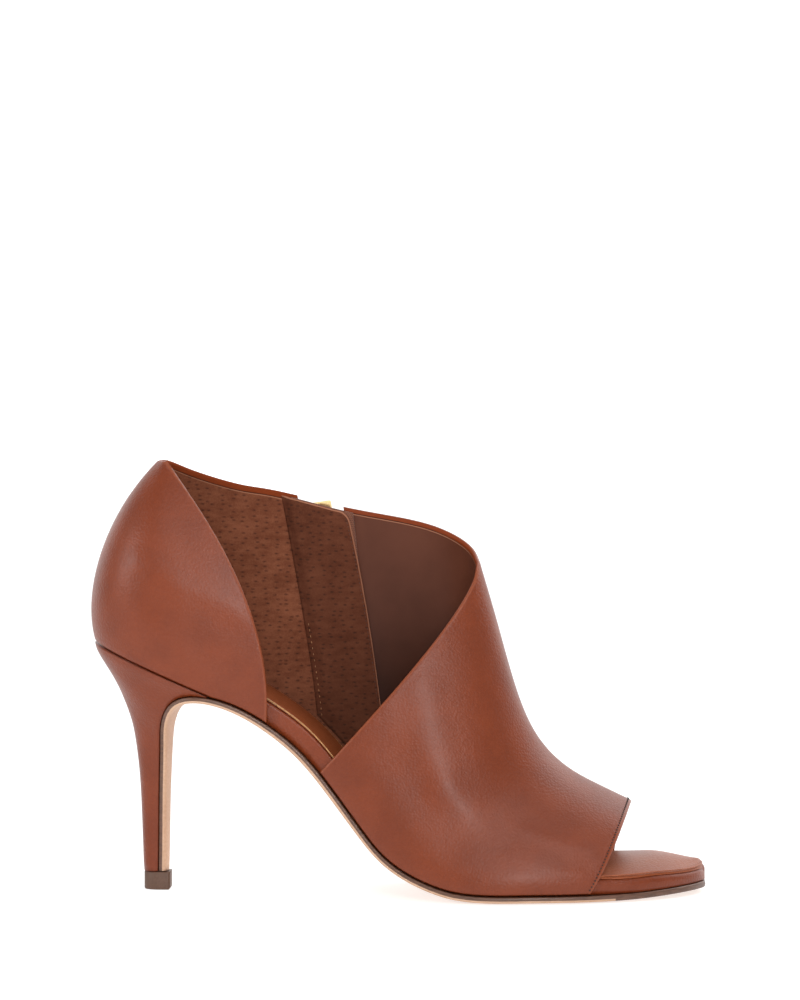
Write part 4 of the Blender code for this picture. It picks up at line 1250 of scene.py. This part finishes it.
seam = [guard_point(0.06, h) - np.array([0.0, 0.0006, 0.0]) for h in np.linspace(GUARD_FOOT + 0.01, 0.50, 60)]
seam_stitches = stitch_row("guard_seam_stitches", laid_on(guard, seam), nearest_normal(guard), 0.0022, 0.00032, 0.42)


# %% Thread along the edge of the sock
def sock_edge(side, places):
    """A line along one edge of the sock, through places along the shoe."""
    line = []
    for x in places:
        mid, half = board_span(x, SOCK_MARGIN)
        y = mid + side * (half + 0.0001)
        line.append((x, y, base_height(x) + board_top(x, y) + FIT + SOCK * 0.55))
    return line


def cord_rings(line, radius, sides=8):
    """Sections of a thin round cord along a line of points."""
    rings = []
    line = [Vector(point) for point in line]
    for number, place in enumerate(line):
        heading = line[min(number + 1, len(line) - 1)] - line[max(number - 1, 0)]
        across = heading.cross(Vector((0, 0, 1))).normalized()
        over = across.cross(heading).normalized()
        turns = [2 * math.pi * k / sides for k in range(sides)]
        rings.append([place + across * radius * math.cos(a) + over * radius * math.sin(a) for a in turns])
    return rings


waist_places = np.linspace(along(0.03), along(0.60), 90)
bm = bmesh.new()
add_loft(bm, cord_rings(sock_edge(-1, waist_places), 0.00022))
add_loft(bm, cord_rings(sock_edge(1, waist_places), 0.00022))
sock_thread = piece_from("sock_edge_thread", bm)

sock_tip = board_ends(SOCK_MARGIN)[1] - 0.0002
toe_places = along(0.78) + (sock_tip - along(0.78)) * np.sin(np.linspace(0.0, math.pi / 2, 120))
round_toe = sock_edge(-1, toe_places) + sock_edge(1, toe_places)[::-1]
bm = bmesh.new()
add_loft(bm, cord_rings(round_toe, 0.00026))
sock_bead = piece_from("sock_toe_bead", bm)

# %% [markdown]
# ## Finishes
# Colours are written as linear light, which is what a renderer sums. Smooth calf leather has a fine
# grain of tiny cells, a faint cloudiness in its dye and a soft polish. All patterns read the piece's own
# place in metres, so they stay put from every side.

# %% Leathers
LEATHER_DARK = (0.158, 0.0265, 0.0052)
LEATHER_LIGHT = (0.196, 0.0345, 0.0075)
CUT_EDGE = (0.34, 0.14, 0.08)
SUEDE_DARK = (0.128, 0.036, 0.016)
SUEDE_LIGHT = (0.250, 0.084, 0.042)
GUARD_DARK = (0.082, 0.022, 0.010)
GUARD_LIGHT = (0.150, 0.048, 0.024)
# Colour of the painted highlight along the upper's turned edges.
EDGE_HIGHLIGHT = (0.31, 0.078, 0.028)


def smooth_leather(name, dark, light, gloss=0.40, grain=0.0009, depth=0.00017, turned=False):
    """Polished calf leather: cells of grain, cloudy dye and a soft wax polish; with turned, a painted highlight
    along the open edges.
    """
    finish = Finish(name, gloss, Specular_IOR_Level=0.30, Coat_Weight=0.16, Coat_Roughness=0.33)
    cells = finish.cells(grain, randomness=0.9)
    fine = finish.noise(grain * 0.45, detail=3.0)
    cloud = finish.noise(0.016, detail=3.0)
    speck = finish.noise(0.0011, detail=2.0)
    tone = cloud.ramp(0.32, 0.68) * 0.75 + speck.ramp(0.35, 0.65) * 0.25
    leather_colour = finish.mix(tone, dark, light)
    if turned:
        # Painted highlight: a lighter colour within about a millimetre of the turned edges, where the rounded rim
        # would catch light.
        edge_highlight_share = 1 - finish.layer("trim").ramp(0.55, 1.05)
        leather_colour = finish.mix(edge_highlight_share * 0.40, leather_colour, EDGE_HIGHLIGHT)
    finish.colour(leather_colour)
    finish.roughness(cells * 0.10 + (gloss - 0.03))
    finish.relief(cells * 0.65 + fine * 0.35, depth)
    return finish


def suede_lining(name, turned_edge, dark, light):
    """Brown pigskin lining: napped, pierced with short dashes, darkened towards the bottom by painted shade, and
    edged as turned_edge says.
    """
    finish = Finish(name, 0.9, Specular_IOR_Level=0.15)
    nap = finish.noise(0.0006, detail=4.0, roughness=0.65)
    cloud = finish.noise(0.009, detail=3.0)
    streak = finish.noise(0.0016, detail=3.0, place=finish.stretched(0.30, 0.30, 1.0))
    dots = finish.cells(0.0020, randomness=0.65, place=finish.side_view(0.50, 1.0), dimensions="2D")
    holes = (1 - dots.ramp(0.05, 0.26)) * nap.ramp(0.36, 0.48)
    tone = nap * 0.35 + cloud * 0.30 + streak * 0.35
    napped = finish.mix(tone.ramp(0.30, 0.70), dark, light)
    # Painted shade: the lining is darkened towards the bottom, inside the shoe.
    shade = 1 - finish.axes()[2].ramp(0.040, 0.100)
    shaded = finish.mix(shade * 0.35, napped, (0.045, 0.014, 0.006))
    pierced = finish.mix(holes * 0.62, shaded, (0.028, 0.011, 0.007))
    edge, height = turned_edge(finish)
    finish.colour(edge(pierced))
    finish.relief(nap * 0.35 - holes * 0.6 + height, 0.00012)
    return finish


def leather_band(finish, width=2.0):
    """Edge of the lining: turned leather, a groove beside it darkened with painted shade, and the lining's pale cut
    edge.
    """
    trim = finish.layer("trim")
    band = 1 - trim.ramp(width, width + 0.15)
    groove = trim.ramp(width, width + 0.12) * (1 - trim.ramp(width + 0.24, width + 0.40))
    cut = trim.ramp(width + 0.30, width + 0.42) * (1 - trim.ramp(width + 0.62, width + 0.80))

    def edge(inner):
        plain = finish.mix(cut, inner, CUT_EDGE)
        turned = finish.mix(band, plain, LEATHER_LIGHT)
        # Painted shade: the groove beside the turned leather is darkened.
        return finish.mix(groove * 0.8, turned, (0.035, 0.012, 0.007))

    return edge, band * 1.5 + cut * 0.5 - groove


def cut_edge(finish):
    """Edge of the guard: a pale line where the leather was cut."""
    line = 1 - finish.layer("trim").ramp(0.25, 0.45)

    def edge(inner):
        return finish.mix(line, inner, CUT_EDGE)

    return edge, line * 0.2


def vamp_lining():
    """Smooth dark brown lining leather under the vamp, below the turned edge, with painted shade that darkens it
    towards the bottom.
    """
    finish = Finish("vamp lining", 0.45, Specular_IOR_Level=0.15)
    fine = finish.noise(0.0005, detail=3.0)
    cloud = finish.noise(0.014, detail=3.0)
    # Painted shade: the lining turns much darker low down inside the toe.
    up = finish.axes()[2].ramp(0.060, 0.112)
    low = finish.mix(cloud.ramp(0.2, 0.8), (0.028, 0.006, 0.002), (0.040, 0.010, 0.004))
    high = finish.mix(cloud.ramp(0.2, 0.8), (0.098, 0.031, 0.017), (0.118, 0.038, 0.021))
    plain = finish.mix(up, low, high)
    edge, height = leather_band(finish, width=1.35)
    finish.colour(edge(plain))
    finish.relief(fine * 0.2 + height, 0.00012)
    return finish


# %% Sole, heel rubber, tape and metal
def sole_leather():
    """Natural tan sole board with a fine fibre."""
    finish = Finish("sole board", 0.55)
    fibre = finish.noise(0.0008, detail=4.0, place=finish.stretched(0.25, 1.0, 1.0))
    cloud = finish.noise(0.02, detail=2.0)
    tone = fibre * 0.5 + cloud * 0.5
    finish.colour(finish.mix(tone.ramp(0.3, 0.7), (0.50, 0.30, 0.19), (0.62, 0.40, 0.27)))
    finish.relief(fibre, 0.00004)
    return finish


def painted_edge():
    """Dark brown edge paint, a little uneven and satin."""
    finish = Finish("painted edge", 0.42, Coat_Weight=0.2, Coat_Roughness=0.3)
    streak = finish.noise(0.0007, detail=3.0, place=finish.stretched(0.2, 0.2, 1.0))
    finish.colour(finish.mix(streak.ramp(0.3, 0.7), (0.085, 0.036, 0.020), (0.135, 0.060, 0.034)))
    finish.relief(streak, 0.00005)
    return finish


def heel_rubber():
    """Dark rubber with a moulded, slightly dusty surface."""
    finish = Finish("heel rubber", 0.55)
    grit = finish.noise(0.0003, detail=3.0)
    finish.colour(finish.mix(grit.ramp(0.3, 0.7), (0.080, 0.038, 0.022), (0.125, 0.062, 0.038)))
    finish.relief(grit, 0.00004)
    return finish


def woven_tape():
    """Brown zip tape: a close herringbone of fine yarns."""
    finish = Finish("woven tape", 0.8, Sheen_Weight=0.2)
    x, y, z = finish.axes()
    warp = (x * 9000.0).maths("SINE", x * 9000.0 + z * 5200.0)
    weft = (z * 9000.0).maths("SINE", z * 9000.0)
    yarn = warp * 0.5 + weft * 0.5
    finish.colour(finish.mix(yarn.ramp(-0.8, 0.8), (0.11, 0.035, 0.018), (0.22, 0.075, 0.038)))
    finish.relief(yarn * 0.5, 0.00008)
    return finish


def thread(name, colour):
    """Waxed sewing thread with a little colour variation along the row."""
    finish = Finish(name, 0.55)
    twist = finish.noise(0.0006, detail=2.0)
    darker = tuple(0.7 * channel for channel in colour)
    finish.colour(finish.mix(twist.ramp(0.35, 0.65), darker, colour))
    return finish


def gold_metal():
    """Light gold plating, softly polished, with fine handling marks."""
    finish = Finish("gold metal", 0.24, Metallic=1.0)
    marks = finish.noise(0.0009, detail=4.0, place=finish.stretched(1.0, 1.0, 0.2))
    finish.colour(finish.mix(marks.ramp(0.3, 0.7), (0.78, 0.58, 0.34), (0.88, 0.70, 0.45)))
    finish.roughness(marks * 0.16 + 0.16)
    finish.relief(marks, 0.00001)
    return finish


calf = smooth_leather("cognac calf", LEATHER_DARK, LEATHER_LIGHT, turned=True)
heel_calf = smooth_leather("heel calf", LEATHER_DARK, LEATHER_LIGHT)
board_calf = smooth_leather("footbed calf", LEATHER_DARK, LEATHER_LIGHT)
sock_calf = smooth_leather("sock leather", (0.24, 0.052, 0.012), (0.29, 0.068, 0.018), gloss=0.42)
suede = suede_lining("suede lining", leather_band, SUEDE_DARK, SUEDE_LIGHT)
guard_suede = suede_lining("guard suede", cut_edge, GUARD_DARK, GUARD_LIGHT)
smooth_lining = vamp_lining()
sole_board = sole_leather()
edge_paint = painted_edge()
rubber = heel_rubber()
tape_weave = woven_tape()
gold = gold_metal()


def dress(piece, *finishes):
    """Gives a piece its finishes, in the order of its faces' material numbers."""
    for finish in finishes:
        piece.data.materials.append(finish.material)


dress(upper, calf, suede, calf, smooth_lining)
dress(guard, guard_suede, guard_suede)
dress(outsole, sole_board, edge_paint)
dress(heel, heel_calf)
dress(top_piece, rubber)
dress(footbed, board_calf)
dress(sock, sock_calf)
dress(tape, tape_weave)
dress(teeth, gold)
dress(toe_stitches, thread("dark thread", (0.018, 0.007, 0.005)))
dress(guard_stitches, thread("brown thread", (0.075, 0.026, 0.015)))
dress(seam_stitches, thread("tan thread", (0.42, 0.19, 0.08)))
dress(sock_thread, thread("golden thread", (0.52, 0.27, 0.10)))
dress(sock_bead, smooth_leather("sock edge leather", (0.26, 0.060, 0.018), (0.33, 0.085, 0.028)))
dress(frame["nodes"]["zip_slider"], gold)
dress(frame["nodes"]["zip_pull"], gold)
print(f"{len(bpy.data.materials)} materials are ready.")

# %% [markdown]
# ## Floor and light
# The photo shows the shoe on pure white with hardly a shadow. A wide white floor under a bright even sky
# does that. One large soft light stands above, towards the toe, and draws the long highlight down the
# front of the vamp. A second one, low on the heel's side, rounds the quarter.

# %% Floor
bm = bmesh.new()
bmesh.ops.create_grid(bm, x_segments=1, y_segments=1, size=12.0)
floor_mesh = bpy.data.meshes.new("floor")
bm.to_mesh(floor_mesh)
bm.free()
floor = bpy.data.objects.new("floor", floor_mesh)
bpy.context.scene.collection.objects.link(floor)
white = Finish("white floor", 0.9, Emission_Strength=0.62)
white.shader.inputs["Base Color"].default_value = (0.55, 0.55, 0.55, 1.0)
white.shader.inputs["Emission Color"].default_value = (1.0, 1.0, 1.0, 1.0)
floor.data.materials.append(white.material)

# %% Backdrop
bm = bmesh.new()
bmesh.ops.create_grid(bm, x_segments=1, y_segments=1, size=9.0, matrix=Matrix.Rotation(math.pi / 2, 4, "X"))
bmesh.ops.translate(bm, vec=(0.0, 4.0, 8.9), verts=bm.verts[:])
backdrop_mesh = bpy.data.meshes.new("backdrop")
bm.to_mesh(backdrop_mesh)
bm.free()
backdrop = bpy.data.objects.new("backdrop", backdrop_mesh)
bpy.context.scene.collection.objects.link(backdrop)
bright = Finish("white backdrop", 0.9, Emission_Strength=1.0)
bright.shader.inputs["Emission Color"].default_value = (1.0, 1.0, 1.0, 1.0)
backdrop.data.materials.append(bright.material)

# %% Light
def softbox(name, place, size, power, aim=(0.08, 0.0, 0.07)):
    """A square area light at place, turned to the shoe."""
    data = bpy.data.lights.new(name, "AREA")
    data.shape = "SQUARE"
    data.size = size
    data.energy = power
    lamp = bpy.data.objects.new(name, data)
    lamp.location = place
    lamp.rotation_euler = (Vector(aim) - Vector(place)).to_track_quat("-Z", "Y").to_euler()
    bpy.context.scene.collection.objects.link(lamp)
    return lamp


softbox("above the camera", (-0.05, -0.95, 0.95), 0.7, 2.4)
softbox("beside the camera", (0.36, -1.25, 0.50), 0.22, 5.8)
softbox("heel side", (-0.85, -0.48, 0.46), 0.24, 3.2)
softbox("behind the toe", (0.80, 0.50, 0.90), 0.9, 5.0)
softbox("over the toe", (0.48, -0.62, 0.88), 0.35, 1.8)
world = bpy.data.worlds.new("white room")
world.use_nodes = True
world.node_tree.nodes["Background"].inputs["Color"].default_value = (1.0, 1.0, 1.0, 1.0)
world.node_tree.nodes["Background"].inputs["Strength"].default_value = 0.30
bpy.context.scene.world = world
bpy.context.scene.view_settings.view_transform = "Standard"
print("The studio is lit.")
